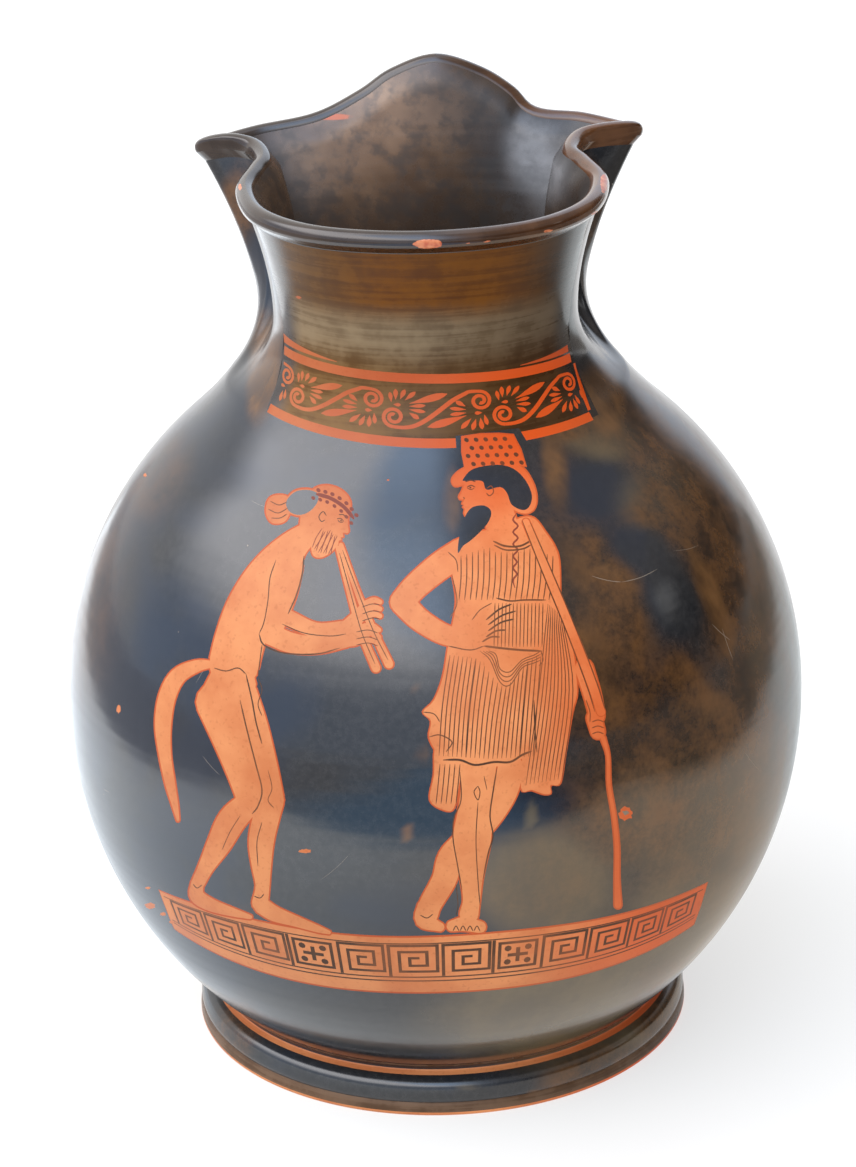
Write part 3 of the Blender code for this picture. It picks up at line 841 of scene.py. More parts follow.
def worn_flecks_and_glint(p):
    """Small chips in the slip that show the clay, a painted highlight on one of them, and fine pale
    scratches.
    """
    rng = np.random.default_rng(7)
    for x, y, wide, high in FLECKS:
        ragged = 0.75 + 0.42 * rng.random(FLECK_POINTS)
        p.lay_ring(CHIP, oval(x, y, wide * ragged, high * ragged, FLECK_POINTS))
    p.lay_ring(PALE, CHIP_GLINT)
    for ends in LONG_SCRATCHES:
        p.scratch(onto_belly(ends), 0.00010)
    for _ in range(FINE_SCRATCHES):
        start = np.array([rng.uniform(-0.27, 0.27), rng.uniform(0.06, 0.19)])
        lean = rng.uniform(-1.3, 1.3)
        length = rng.uniform(0.003, 0.012)
        end = start + length * np.array([math.cos(lean), math.sin(lean)])
        p.scratch((start, end), rng.uniform(0.00003, 0.00006))


# Repeated ornament


class Unit:
    """One repeat of a band, drawn flat: x along the band in repeats, y from 0 at its foot to 1 at its top."""

    def __init__(self):
        self.points, self.faces = [], []

    def bar(self, a, b, width, tall=0.85):
        """A straight bar between two points; its width is in shares of the band's height."""
        (ax, ay), (bx, by) = a, b
        up, aside = width / 2, width / 2 * tall
        if abs(ay - by) < 1e-9:
            x0, x1, y0, y1 = min(ax, bx) - aside, max(ax, bx) + aside, ay - up, ay + up
        else:
            x0, x1, y0, y1 = ax - aside, ax + aside, min(ay, by) - up, max(ay, by) + up
        self.ring([(x0, y0), (x1, y0), (x1, y1), (x0, y1)])

    def ring(self, points):
        start = len(self.points)
        self.points += [tuple(p) for p in points]
        self.faces.append(tuple(range(start, start + len(points))))

    def leaf(self, root, tip, width):
        """A drop-shaped leaf, fullest near its tip."""
        t = np.linspace(0.0, 1.0, 9)
        ahead = (tip - root) / np.linalg.norm(tip - root)
        side = np.array([-ahead[1], ahead[0]])
        bulge = 0.5 * width * np.sin(math.pi * t ** 1.5) ** 0.8 + 0.004
        middle = root + (tip - root) * t[:, None]
        self.ring(np.concatenate([middle - side * bulge[:, None], (middle + side * bulge[:, None])[::-1]]))

    def ribbon(self, line, widths):
        """A band along a line, with its half-width at each point."""
        start = len(self.points)
        self.points += [tuple(p) for p in both_edges(line, widths)]
        self.faces += [tuple(start + i for i in face) for face in strip_faces(len(line))]


KEY_PATH = [
    (0.03, 0.02), (0.03, 0.95), (0.92, 0.95), (0.92, 0.14), (0.22, 0.14), (0.22, 0.76), (0.73, 0.76),
    (0.73, 0.33), (0.41, 0.33), (0.41, 0.57), (0.56, 0.57),
]
CROSS_FRAME = [
    ((0.12, 0.12), (0.88, 0.12)), ((0.12, 0.88), (0.88, 0.88)), ((0.12, 0.12), (0.12, 0.88)),
    ((0.88, 0.12), (0.88, 0.88)), ((0.0, 0.02), (0.0, 0.95)),
]
CROSS_BARS = [((0.33, 0.5), (0.67, 0.5)), ((0.5, 0.33), (0.5, 0.67))]
CROSS_DOTS = [(0.29, 0.29), (0.71, 0.29), (0.29, 0.71), (0.71, 0.71)]
# Leaves of a palmette: root, tip and width in band heights
LEAVES = [
    ((0.16, 0.14), (0.13, 0.36), 0.075), ((0.24, 0.20), (0.24, 0.44), 0.085),
    ((0.33, 0.22), (0.42, 0.44), 0.085), ((0.42, 0.20), (0.62, 0.40), 0.085),
    ((0.50, 0.13), (1.22, 0.36), 0.15), ((0.50, 0.07), (0.80, 0.10), 0.075),
    ((0.50, 0.00), (0.80, -0.04), 0.075), ((0.50, -0.07), (0.68, -0.19), 0.09),
    ((0.20, 0.09), (0.34, 0.09), 0.07),
]


def key_unit():
    """Dark lines of one square spiral key."""
    unit = Unit()
    for a, b in zip(KEY_PATH, KEY_PATH[1:]):
        unit.bar(a, b, 0.076)
    return unit


def cross_unit():
    """A square with four dots about a cross, set between the keys."""
    unit = Unit()
    for bars, width in ((CROSS_FRAME, 0.080), (CROSS_BARS, 0.10)):
        for a, b in bars:
            unit.bar(a, b, width)
    for x, y in CROSS_DOTS:
        unit.ring(oval(x, y, 0.075, 0.09, 8))
    return unit


def palmette_unit():
    """Two slanted palmettes, each on its own spiral, half a turn from each other; lengths in band heights."""
    unit = Unit()
    for sign in (1.0, -1.0):
        t = np.linspace(0.0, 1.0, 30)
        angle = math.radians(-90.0) - 1.55 * 2.0 * math.pi * (1.0 - t)
        radius = 0.045 + 0.165 * t ** 0.9
        spiral = np.stack([0.21 + np.cos(angle) * radius, -0.175 + np.sin(angle) * radius], -1) * sign
        unit.ribbon(spiral, np.full(30, 0.036))
        for root, tip, width in LEAVES:
            unit.leaf(np.array(root) * sign, np.array(tip) * sign, width)
    return unit


def stem_line(pitch):
    """The stem from one pair of spirals to the next."""
    points = [(0.21, -0.385), (0.42, -0.385), (0.62, -0.33), (0.85, -0.18), (1.10, 0.03), (1.33, 0.22),
              (1.55, 0.345), (pitch - 0.40, 0.39), (pitch - 0.21, 0.385)]
    line = smooth_through(points, 4)
    return line, 0.034 + 0.012 * np.sin(np.linspace(0.0, math.pi, len(line)))


def repeat_tree():
    """Geometry nodes that set a unit out along a line: how many, how far apart, where the first stands."""
    tree = bpy.data.node_groups.new("repeat_along_band", "GeometryNodeTree")
    for label, way, kind in (
            ("Geometry", "INPUT", "Geometry"), ("Unit", "INPUT", "Object"), ("Count", "INPUT", "Int"),
            ("Pitch", "INPUT", "Float"), ("First", "INPUT", "Float"), ("Paint", "INPUT", "Material"),
            ("Geometry", "OUTPUT", "Geometry")):
        tree.interface.new_socket(label, in_out=way, socket_type="NodeSocket" + kind)
    kinds = ("NodeGroupInput", "NodeGroupOutput", "ShaderNodeCombineXYZ", "ShaderNodeCombineXYZ",
             "GeometryNodeMeshLine", "GeometryNodeObjectInfo", "GeometryNodeInstanceOnPoints",
             "GeometryNodeRealizeInstances", "GeometryNodeSetMaterial")
    entry, out, start, step, line, unit, place, real, paint = (tree.nodes.new(kind) for kind in kinds)
    line.mode = "OFFSET"
    for source, name, target, socket in (
            (entry, "First", start, "X"), (entry, "Pitch", step, "X"), (entry, "Count", line, "Count"),
            (start, "Vector", line, "Start Location"), (step, "Vector", line, "Offset"),
            (entry, "Unit", unit, "Object"), (line, "Mesh", place, "Points"),
            (unit, "Geometry", place, "Instance"), (place, "Instances", real, "Geometry"),
            (real, "Geometry", paint, "Geometry"), (entry, "Paint", paint, "Material"),
            (paint, "Geometry", out, "Geometry")):
        tree.links.new(source.outputs[name], target.inputs[socket])
    return tree


def put_in_scene(name, mesh):
    """A new object that shows a mesh, in the scene."""
    made = bpy.data.objects.new(name, mesh)
    bpy.context.scene.collection.objects.link(made)
    return made


def set_out(tree, name, unit, count, pitch, first, paint):
    """Repeats a unit along a band and returns its points and faces."""
    flat = bpy.data.meshes.new(name)
    flat.from_pydata([(x, y, 0.0) for x, y in unit.points], [], unit.faces)
    holder = put_in_scene(name + "_unit", flat)
    band = put_in_scene(name, bpy.data.meshes.new(name + "_band"))
    rule = band.modifiers.new("repeat", "NODES")
    rule.node_group = tree
    sizes = {"Unit": holder, "Count": count, "Pitch": pitch, "First": first, "Paint": paint}
    for item in tree.interface.items_tree:
        if item.in_out == "INPUT" and item.name in sizes:
            rule[item.identifier] = sizes[item.name]
    graph = bpy.context.evaluated_depsgraph_get()
    mesh = bpy.data.meshes.new_from_object(band.evaluated_get(graph))
    band.modifiers.remove(rule)
    points = np.array([v.co[:2] for v in mesh.vertices])
    faces = [tuple(f.vertices) for f in mesh.polygons]
    for old in (band, holder):
        bpy.data.objects.remove(old, do_unlink=True)
    bpy.data.meshes.remove(mesh)
    return points, faces


def lay_band(p, kind, place, low, high, left=-1.0, right=1.0, steps=90):
    """A stripe between two heights of a band, each one value or one for each step."""
    across = np.linspace(left, right, steps)
    points = np.concatenate([place(across, np.broadcast_to(up, steps)) for up in (low, high)])
    p.lay(kind, points, strip_faces(steps))


KEY_HALF_ANGLE = math.radians(48.15)
KEY_REPEATS = 12
KEY_STARTS = (-0.955, -0.795, -0.639, -0.470, -0.302, -0.138, 0.036, 0.203, 0.361, 0.525, 0.678, 0.817, 0.965)
KEY_LOW = 0.315
KEY_HIGH = 0.885
# Lines along the keys: height and half-width in shares of the band
KEY_LINES = [(0.218, 0.012), (0.290, 0.012), (0.893, 0.010)]


def key_band_place(across, up):
    """Angle and way along the wall of a point of the key band, across -1 to 1 and up 0 to 1."""
    top = 0.0650 - 0.0024 * across ** 2 + 0.0003 * np.sin(7.0 * across)
    low = 0.0466 + 0.0036 * np.abs(across) ** 3 + 0.0003 * np.sin(5.0 * across + 1.0)
    height = low + (top - low) * up
    return np.stack([(KEY_HALF_ANGLE * across - 0.0305) * FRONT, SKIN.from_height(height)], -1)


def key_band(p, tree, paint):
    """Running keys between lines, with a wide stripe below."""
    lay_band(p, HALO, key_band_place, -0.03, 1.03, -1.004, 1.004)
    lay_band(p, CLAY, key_band_place, 0.0, 1.0)
    for up, half in KEY_LINES:
        lay_band(p, LINE, key_band_place, up - half, up + half, -0.985, 0.985)
    for unit, runs in ((key_unit(), ((0, 3), (4, 3), (8, 4))), (cross_unit(), ((3, 1), (7, 1)))):
        for first, count in runs:
            points, faces = set_out(tree, "keys_%d" % first, unit, count, 1.0, float(first), paint)
            points, faces = split_long(points, faces)
            across = np.interp(points[:, 0], range(KEY_REPEATS + 1), KEY_STARTS)
            up = KEY_LOW + (KEY_HIGH - KEY_LOW) * points[:, 1]
            p.lay(LINE, key_band_place(across, up), faces)


def split_long(points, faces):
    """Cuts bars that are long across the band into short ones, so that they bend with the wall."""
    out_points, out_faces = [tuple(q) for q in points], []
    for face in faces:
        if len(face) != 4:
            out_faces.append(face)
            continue
        a, b, c, d = (np.array(points[i]) for i in face)
        count = max(1, int(round(np.linalg.norm(b - a) / 0.25)))
        for i in range(count):
            s, t = i / count, (i + 1) / count
            out_faces.append(tuple(range(len(out_points), len(out_points) + 4)))
            corners = (a + (b - a) * s, a + (b - a) * t, d + (c - d) * t, d + (c - d) * s)
            out_points += [tuple(q) for q in corners]
    return np.array(out_points), out_faces


NECK_HALF_ANGLE = math.radians(54.0)
NECK_SLIP_TOP = 0.2213
PALMETTE_PITCH = 2.05
PALMETTE_COUNT = 5
PALMETTE_FIRST = -2.0 * PALMETTE_PITCH - 0.86
PALMETTE_SCALE = (0.2935, 0.625)
# Slip's ragged sides about the neck's band: degrees from the front, from and to, then heights
NECK_SLIP_SIDES = [(53, 54, 0.216, 0.182), (-54, -51, 0.182, 0.216)]


def neck_band_place(across, up):
    """Angle and way along the wall of a point of the neck's band, across -1 to 1 and up 0 to 1."""
    top = 0.1902 - 0.0017 * across - 0.0005 * across ** 2
    low = 0.1743 - 0.0016 * across + 0.0008 * across ** 2
    height = low + (top - low) * up
    return np.stack([(0.004 + NECK_HALF_ANGLE * across) * FRONT, SKIN.from_height(height)], -1)


def wall_points(turns, heights):
    """Points of the unrolled wall, by degrees round from the front and height."""
    return np.stack([np.radians(turns) * FRONT, SKIN.from_height(heights)], -1)


def neck_band(p, tree, paint):
    """Palmettes and spirals on thin brown slip between two stripes, the upper one doubled at its ends."""
    place = neck_band_place
    rng = np.random.default_rng(11)
    top = wall_points(np.linspace(-50, 52, 40), np.full(40, NECK_SLIP_TOP))
    sides = [wall_points(np.linspace(a, b, 6), np.linspace(c, d, 6)) for a, b, c, d in NECK_SLIP_SIDES]
    right, left = (side + 0.0008 * rng.standard_normal(side.shape) for side in sides)
    foot = place(np.linspace(1.0, -1.0, 60), np.full(60, 0.03))
    ground = np.concatenate([top, right, foot, left])
    p.lay(BROWN, ground, [range(len(ground))])
    t = np.linspace(0.0, 1.0, 30)
    lay_band(p, CLAY, place, 0.0, 0.12, -0.985, 0.945)
    lay_band(p, CLAY, place, 0.86, 1.0, -0.98, 0.975)
    lay_band(p, CLAY, place, 1.05, 1.19 - 0.13 * t, -0.985, -0.53, 30)
    lay_band(p, HALO, place, 1.03, 1.04 + 0.10 * t, 0.55, 0.965, 30)
    end = place(np.array([0.988, 1.012, 0.967, 0.943]), np.array([0.82, 0.82, 0.14, 0.14]))
    p.lay(CLAY, end, [range(4)])
    unit = palmette_unit()
    unit.ribbon(*stem_line(PALMETTE_PITCH))
    points, faces = set_out(tree, "palmettes", unit, PALMETTE_COUNT, PALMETTE_PITCH, PALMETTE_FIRST, paint)
    across = points[:, 0] * PALMETTE_SCALE[0]
    inside = np.abs(across) < 0.975
    keep = [f for f in faces if all(inside[i] for i in f)]
    up = 0.489 + PALMETTE_SCALE[1] * points[:, 1]
    p.lay(CLAY, place(np.clip(across, -1.0, 1.0), up), keep)


# Mesh
FINISHES = {SLIP: 0, PALE: 0, CLAY: 2, HALO: 2, LINE: 2, RED: 2, CHIP: 2, BROWN: 3}
INSIDE_FINISH = 1
# What each paint puts into the colour attribute: pale or dull, line, red
PAINT_COLOURS = {HALO: (1.0, 0, 0), LINE: (0, 1.0, 0), RED: (0, 0, 1.0), PALE: (0.6, 0, 0), CHIP: (0.3, 0, 0)}
HALF_ROUND = math.pi * FRONT
RING_POINTS = COLUMNS + 1
LIP_BEAD = LIP_WIDTH / 2
# Margin of the unrolled map, turns and map places of the wall's front, and the wall's foot and height there
SEAM = 0.004
FRONT_TURNS = (-1.0, -0.36, 0.36, 1.0)
FRONT_SPOTS = (SEAM, 0.150, 0.850, 1.0 - SEAM)
WALL_FOOT_SPOT = 0.31
WALL_SPOTS = 0.68
# Least gap between a painted shape and the wall's ends, and the smallest triangle that is kept
EDGE_GAP = 1e-4
SLIVER = 1e-13


class Block:
    """Points with their outward directions, faces with their paint, and places on the unrolled map."""

    def __init__(self, places, normals, faces, kinds, spots, finish=None):
        self.places, self.normals, self.faces = places, normals, faces
        self.kinds, self.spots, self.finish = kinds, spots, finish


def skin_place(turn, along):
    """Places on the jug of points of the unrolled wall."""
    return pinched(turn, *SKIN.at(along))


def skin_normal(turn, along, step=0.0004):
    """Outward directions from the turned and pinched form itself, so that the gloss stays even."""
    aside = step / HALF_ROUND
    across_way = skin_place(once_round(turn + aside), along) - skin_place(once_round(turn - aside), along)
    turn = once_round(turn)
    down_way = skin_place(turn, along + step) - skin_place(turn, along - step)
    return unit_length(np.cross(down_way, across_way))


def skin_block(p):
    """The painted outer wall: a fine grid cut along the edge of every painted shape."""
    neck_end = float(SKIN.from_height(PINCH_FOOT))
    low_rows = np.linspace(neck_end, SKIN.length, BELLY_ROWS)[1:]
    rows = np.concatenate([np.linspace(0.0, neck_end, NECK_ROWS), low_rows])
    across = np.linspace(-HALF_ROUND, HALF_ROUND, RING_POINTS)
    grid = np.concatenate([np.stack([across, np.full(RING_POINTS, row)], -1) for row in rows])
    painted = np.concatenate(p.points)
    painted[:, 1] = np.clip(painted[:, 1], EDGE_GAP, SKIN.length - EDGE_GAP)
    points = [Vector(q) for q in np.concatenate([grid, painted])]
    faces = [[len(grid) + i for i in face] for face in p.faces]
    places, _, triangles, _, _, sources = delaunay_2d_cdt(points, [], faces, 0, 1e-7, True)
    flat = np.array([tuple(q) for q in places], float)
    rim = np.minimum(flat[:, 1], SKIN.length - flat[:, 1]) < 1e-5
    column = 2.0 * HALF_ROUND / COLUMNS
    flat[rim, 0] = np.round((flat[rim, 0] + HALF_ROUND) / column) * column - HALF_ROUND
    flat[rim, 1] = np.where(flat[rim, 1] < 0.1 * SKIN.length, 0.0, SKIN.length)
    kinds, keep = [], []
    for triangle, source in zip(triangles, sources):
        a, b, c = (flat[i] for i in triangle)
        area = (b[0] - a[0]) * (c[1] - a[1]) - (c[0] - a[0]) * (b[1] - a[1])
        if abs(area) < SLIVER:
            continue
        keep.append(tuple(triangle) if area < 0.0 else tuple(triangle)[::-1])
        kinds.append(p.kinds[max(source)] if source else SLIP)
    turn, along = flat[:, 0] / HALF_ROUND, flat[:, 1]
    places = skin_place(np.clip(turn, -1.0, 1.0), along)
    return Block(places, skin_normal(turn, along), keep, kinds, skin_spots(turn, along))


def skin_spots(turn, along):
    """Map of the wall: the front, where the picture is, has most of its width."""
    u = np.interp(turn, FRONT_TURNS, FRONT_SPOTS)
    v = WALL_FOOT_SPOT + WALL_SPOTS * (1.0 - along / SKIN.length)
    return np.stack([u, v], -1)


def grid_faces(rows, columns):
    """Four-sided faces of a grid with one more point than faces each way."""
    width = columns + 1
    return [(j * width + i, j * width + i + 1, (j + 1) * width + i + 1, (j + 1) * width + i)
            for j in range(rows) for i in range(columns)]


def around_rings(places):
    """Directions round a grid of closed rings."""
    closed = np.concatenate([places[:, -2:-1], places, places[:, 1:2]], axis=1)
    return closed[:, 2:] - closed[:, :-2]


def ring_normals(places):
    """Outward directions of a grid of rings; a ring that is a point takes its neighbour's."""
    normal = np.cross(np.gradient(places, axis=0), around_rings(places))
    length = np.linalg.norm(normal, axis=2, keepdims=True)
    flat = np.where(length > 1e-14, normal / np.maximum(length, 1e-14), 0.0)
    for row in range(len(places)):
        if length[row].max() < 1e-12:
            flat[row] = (flat[1] if row == 0 else flat[row - 1]).mean(axis=0)
    return unit_length(flat, 1e-9).reshape(-1, 3)


def grid_block(line, low_spot, high_spot, kind):
    """A band of rings round the axis along a line of radii and heights, closed where it meets the axis."""
    radii, heights = np.asarray(line, float).T
    count = len(radii)
    t = np.tile(np.linspace(-1.0, 1.0, RING_POINTS), count)
    places = pinched(t, np.repeat(radii, RING_POINTS), np.repeat(heights, RING_POINTS))
    faces = []
    for index, (a, b, c, d) in enumerate(grid_faces(count - 1, COLUMNS)):
        on_axis = radii[index // COLUMNS + 1] < 1e-9
        faces.append((d, b, a) if on_axis else (d, c, b, a))
    across = SEAM + (1.0 - 2.0 * SEAM) * (t + 1.0) / 2.0
    spots = np.stack([across, np.repeat(np.linspace(high_spot, low_spot, count), RING_POINTS)], -1)
    normals = ring_normals(places.reshape(count, RING_POINTS, 3))
    return Block(places, normals, faces, [kind] * len(faces), spots)


def lip_bead():
    """Radii and heights round the bead of the lip, from its inner side over its top to its outer side."""
    angles = np.radians(np.linspace(165.0, -30.0, 22))
    radii = LIP_RADIUS - LIP_BEAD + LIP_BEAD * np.cos(angles)
    return np.stack([radii, RIM_HEIGHT - LIP_BEAD + LIP_BEAD * np.sin(angles)], -1)


def lip_blocks():
    """The round bead of the lip and the small step below it."""
    bead = lip_bead()
    step = [bead[-1], (float(wall_radius(UNDER_LIP)), UNDER_LIP)]
    return [grid_block(bead, 0.285, 0.302, BROWN), grid_block(step, 0.280, 0.284, BROWN)]


def inside_block():
    """The inner wall from the lip down to the middle of the floor."""
    floor = UNDERSIDE_HOLLOW + FLOOR_THICKNESS
    knee = floor + 0.6 * WALL
    reach = float(ball_reach(knee, WALL))
    rise = float(ball_reach(SHOULDER_TOP, WALL))
    low = BELLY_LINE + reach * np.sin(np.linspace(math.asin((knee - BELLY_LINE) / reach), 0.0, 22))
    mid = BELLY_LINE + rise * np.sin(np.linspace(0.0, math.asin((SHOULDER_TOP - BELLY_LINE) / rise), 16))[1:]
    high = np.linspace(SHOULDER_TOP, RIM_HEIGHT - LIP_WIDTH, 26)[1:]
    heights = np.concatenate([low, mid, high])[::-1]
    wall = np.stack([wall_radius(heights, WALL), heights], -1)
    edge = wall[-1, 0]
    bottom = [(edge - 0.0024, knee - 0.0014), (edge - 0.0055, knee - 0.0023), (0.82 * edge, floor),
              (0.5 * edge, floor), (0.2 * edge, floor), (0.0, floor)]
    block = grid_block(np.concatenate([lip_bead()[:1], wall, bottom]), 0.115, 0.215, SLIP)
    block.faces = [face[::-1] for face in block.faces]
    block.normals = -block.normals
    block.finish = INSIDE_FINISH
    return block


# Outer side of the foot from the wall down, radius and height in millimetres
FOOT_OUTLINE = [
    (59.4, 11.55), (59.05, 10.8), (59.1, 10.5), (59.3, 10.05), (60.5, 9.65), (62.2, 9.05), (63.2, 8.0),
    (63.6, 6.8), (63.85, 5.4), (63.85, 4.4), (63.55, 3.5), (63.7, 3.15), (64.0, 2.6), (64.2, 0.98),
]


def foot_blocks():
    """Moulded foot and hollow underside."""
    inner = FOOT_RADIUS - FOOT_RING
    deep = UNDERSIDE_HOLLOW
    outer = np.array(FOOT_OUTLINE) * 0.001
    top = (float(wall_radius(SEAT_HEIGHT)), SEAT_HEIGHT)
    rest = [outer[-1], (FOOT_RADIUS, 0.0004), (FOOT_RADIUS - 0.0004, 0.0)]
    step = [(inner, 0.0), (inner - 0.3 * deep, 0.45 * deep), (inner - 0.6 * deep, 0.9 * deep)]
    hollow = [step[-1], (0.66 * inner, 0.97 * deep), (0.33 * inner, deep), (0.0, deep)]
    parts = [
        ([top, outer[0]], 0.271, 0.274, BROWN), (outer[0:3], 0.266, 0.270, SLIP),
        (outer[2:5], 0.262, 0.265, CLAY), (smooth_through(outer[4:11], 3), 0.242, 0.261, SLIP),
        (outer[10:14], 0.236, 0.241, BROWN), (rest, 0.232, 0.235, CLAY),
        ([rest[-1], step[0]], 0.226, 0.231, CLAY), (step, 0.222, 0.225, CLAY), (hollow, 0.08, 0.11, CLAY),
    ]
    return [grid_block(*part) for part in parts]


STRAP_SIDES = 48
STRAP_STEPS = 81
STRAP_FILLET = 0.0045


def strap_path():
    """Middle line of the handle from the rim to the belly, and the share of the way along it."""
    start = np.array([CREST_LEAN, BACK_REACH - 1.05 * WALL, RIM_HEIGHT + BACK_RISE - STRAP_BELOW_CREST])
    reach = float(ball_reach(STRAP_FOOT, 0.0))
    share = (STRAP_FOOT - BELLY_LINE) / reach
    outward = unit_length(np.array([0.0, math.sqrt(1.0 - share * share) / BELLY_RADIUS, share / reach]))
    foot = np.array([CREST_LEAN, float(wall_radius(STRAP_FOOT)), STRAP_FOOT]) - outward * (0.66 * WALL)
    bends = (start, start + [0.0, STRAP_REACH, 0.0], foot + outward * STRAP_REACH, foot)
    t = np.linspace(0.0, 1.0, STRAP_STEPS)
    t = t - 0.05 * np.sin(2.0 * math.pi * t)
    s = 1.0 - t
    pulls = (s ** 3, 3 * s * s * t, 3 * s * t * t, t ** 3)
    return sum(bend * pull[:, None] for bend, pull in zip(bends, pulls)), t


def fillet_growth(distance):
    """From 1 at a joint down to 0 a fillet's width away, round like a quarter of a circle."""
    near = 1.0 - np.clip(distance / STRAP_FILLET, 0.0, 1.0)
    return 1.0 - np.sqrt(np.maximum(0.0, 1.0 - near ** 2))


def strap_block():
    """The handle: an oval strap that spreads where it meets the rim and the belly."""
    path, t = strap_path()
    side = np.array([1.0, 0.0, 0.0])
    up = np.cross(side, unit_length(np.gradient(path, axis=0)))
    lengths = way_along(path)
    flare = 1.0 + 0.04 * (1.0 - t) ** 8 + 0.30 * t ** 8
    grow = (0.0040 * fillet_growth(lengths[-1] - lengths - 0.66 * WALL)
            + 0.0012 * fillet_growth(lengths - 0.55 * WALL))
    angles = np.linspace(0.0, 2.0 * math.pi, STRAP_SIDES + 1)
    ridge = 1.0 + 0.05 * np.cos(2.0 * angles) ** 2
    half_wide = (0.5 * STRAP_WIDTH * flare + grow)[:, None, None]
    half_thick = (0.5 * STRAP_THICKNESS * flare + grow)[:, None, None]
    places = (path[:, None] + (np.cos(angles) * ridge)[None, :, None] * half_wide * side
              + (np.sin(angles) * ridge)[None, :, None] * half_thick * up[:, None])
    places[..., 1] += AXIS_BACK
    normals = unit_length(np.cross(np.gradient(places, axis=0), around_rings(places)), 1e-12)
    last = (STRAP_STEPS - 1) * (STRAP_SIDES + 1)
    faces = [face[::-1] for face in grid_faces(STRAP_STEPS - 1, STRAP_SIDES)]
    faces += [tuple(range(STRAP_SIDES)), tuple(range(last, last + STRAP_SIDES))[::-1]]
    spots = np.stack([np.tile(SEAM + 0.45 * np.arange(STRAP_SIDES + 1) / STRAP_SIDES, STRAP_STEPS),
                      np.repeat(SEAM + 0.070 * (1.0 - t), STRAP_SIDES + 1)], -1)
    return Block(places.reshape(-1, 3), normals.reshape(-1, 3), faces, [SLIP] * len(faces), spots)


def jug_mesh(blocks):
    """Joins the blocks into one mesh with shared seams and its own outward directions."""
    places, normals, spots = (
        np.concatenate([getattr(b, name) for b in blocks]) for name in ("places", "normals", "spots"))
    grid = np.round(places * 1e6 + 0.37).astype(np.int64)
    _, first, shared = np.unique(grid, axis=0, return_index=True, return_inverse=True)
    shared = shared.ravel()
    faces, kinds, corners, finishes, seen = [], [], [], [], set()
    offset = 0
    for block in blocks:
        for face, kind in zip(block.faces, block.kinds):
            own = [offset + i for i in face]
            met = [int(shared[i]) for i in own]
            clean = [(m, o) for k, (m, o) in enumerate(zip(met, own)) if m != met[k - 1]]
            key = frozenset(m for m, _ in clean)
            if len(key) < 3 or (len(clean) == 3 and key in seen):
                continue
            seen.add(key)
            faces.append([m for m, _ in clean])
            corners += [o for _, o in clean]
            kinds.append(kind)
            finishes.append(FINISHES[kind] if block.finish is None else block.finish)
        offset += len(block.places)
    corners = np.array(corners)
    mesh = bpy.data.meshes.new("painted_jug")
    mesh.from_pydata([tuple(q) for q in places[first]], [], faces)
    table = np.zeros((8, 4))
    for kind, colour in PAINT_COLOURS.items():
        table[kind, :3] = colour
    paint = np.repeat(table[np.array(kinds)], [len(f) for f in faces], axis=0)
    stain = np.concatenate([stains(b.places, b.normals) for b in blocks])[corners]
    for name, colours in (("paint", paint), ("stain", stain)):
        layer = mesh.attributes.new(name, "FLOAT_COLOR", "CORNER")
        layer.data.foreach_set("color", colours.astype(np.float32).ravel())
    layer = mesh.uv_layers.new(name="OFBake")
    layer.data.foreach_set("uv", spots[corners].astype(np.float32).ravel())
    mesh.polygons.foreach_set("material_index", finishes)
    mesh.shade_smooth()
    mesh.normals_split_custom_set(normals[corners])
    return mesh


# Looks


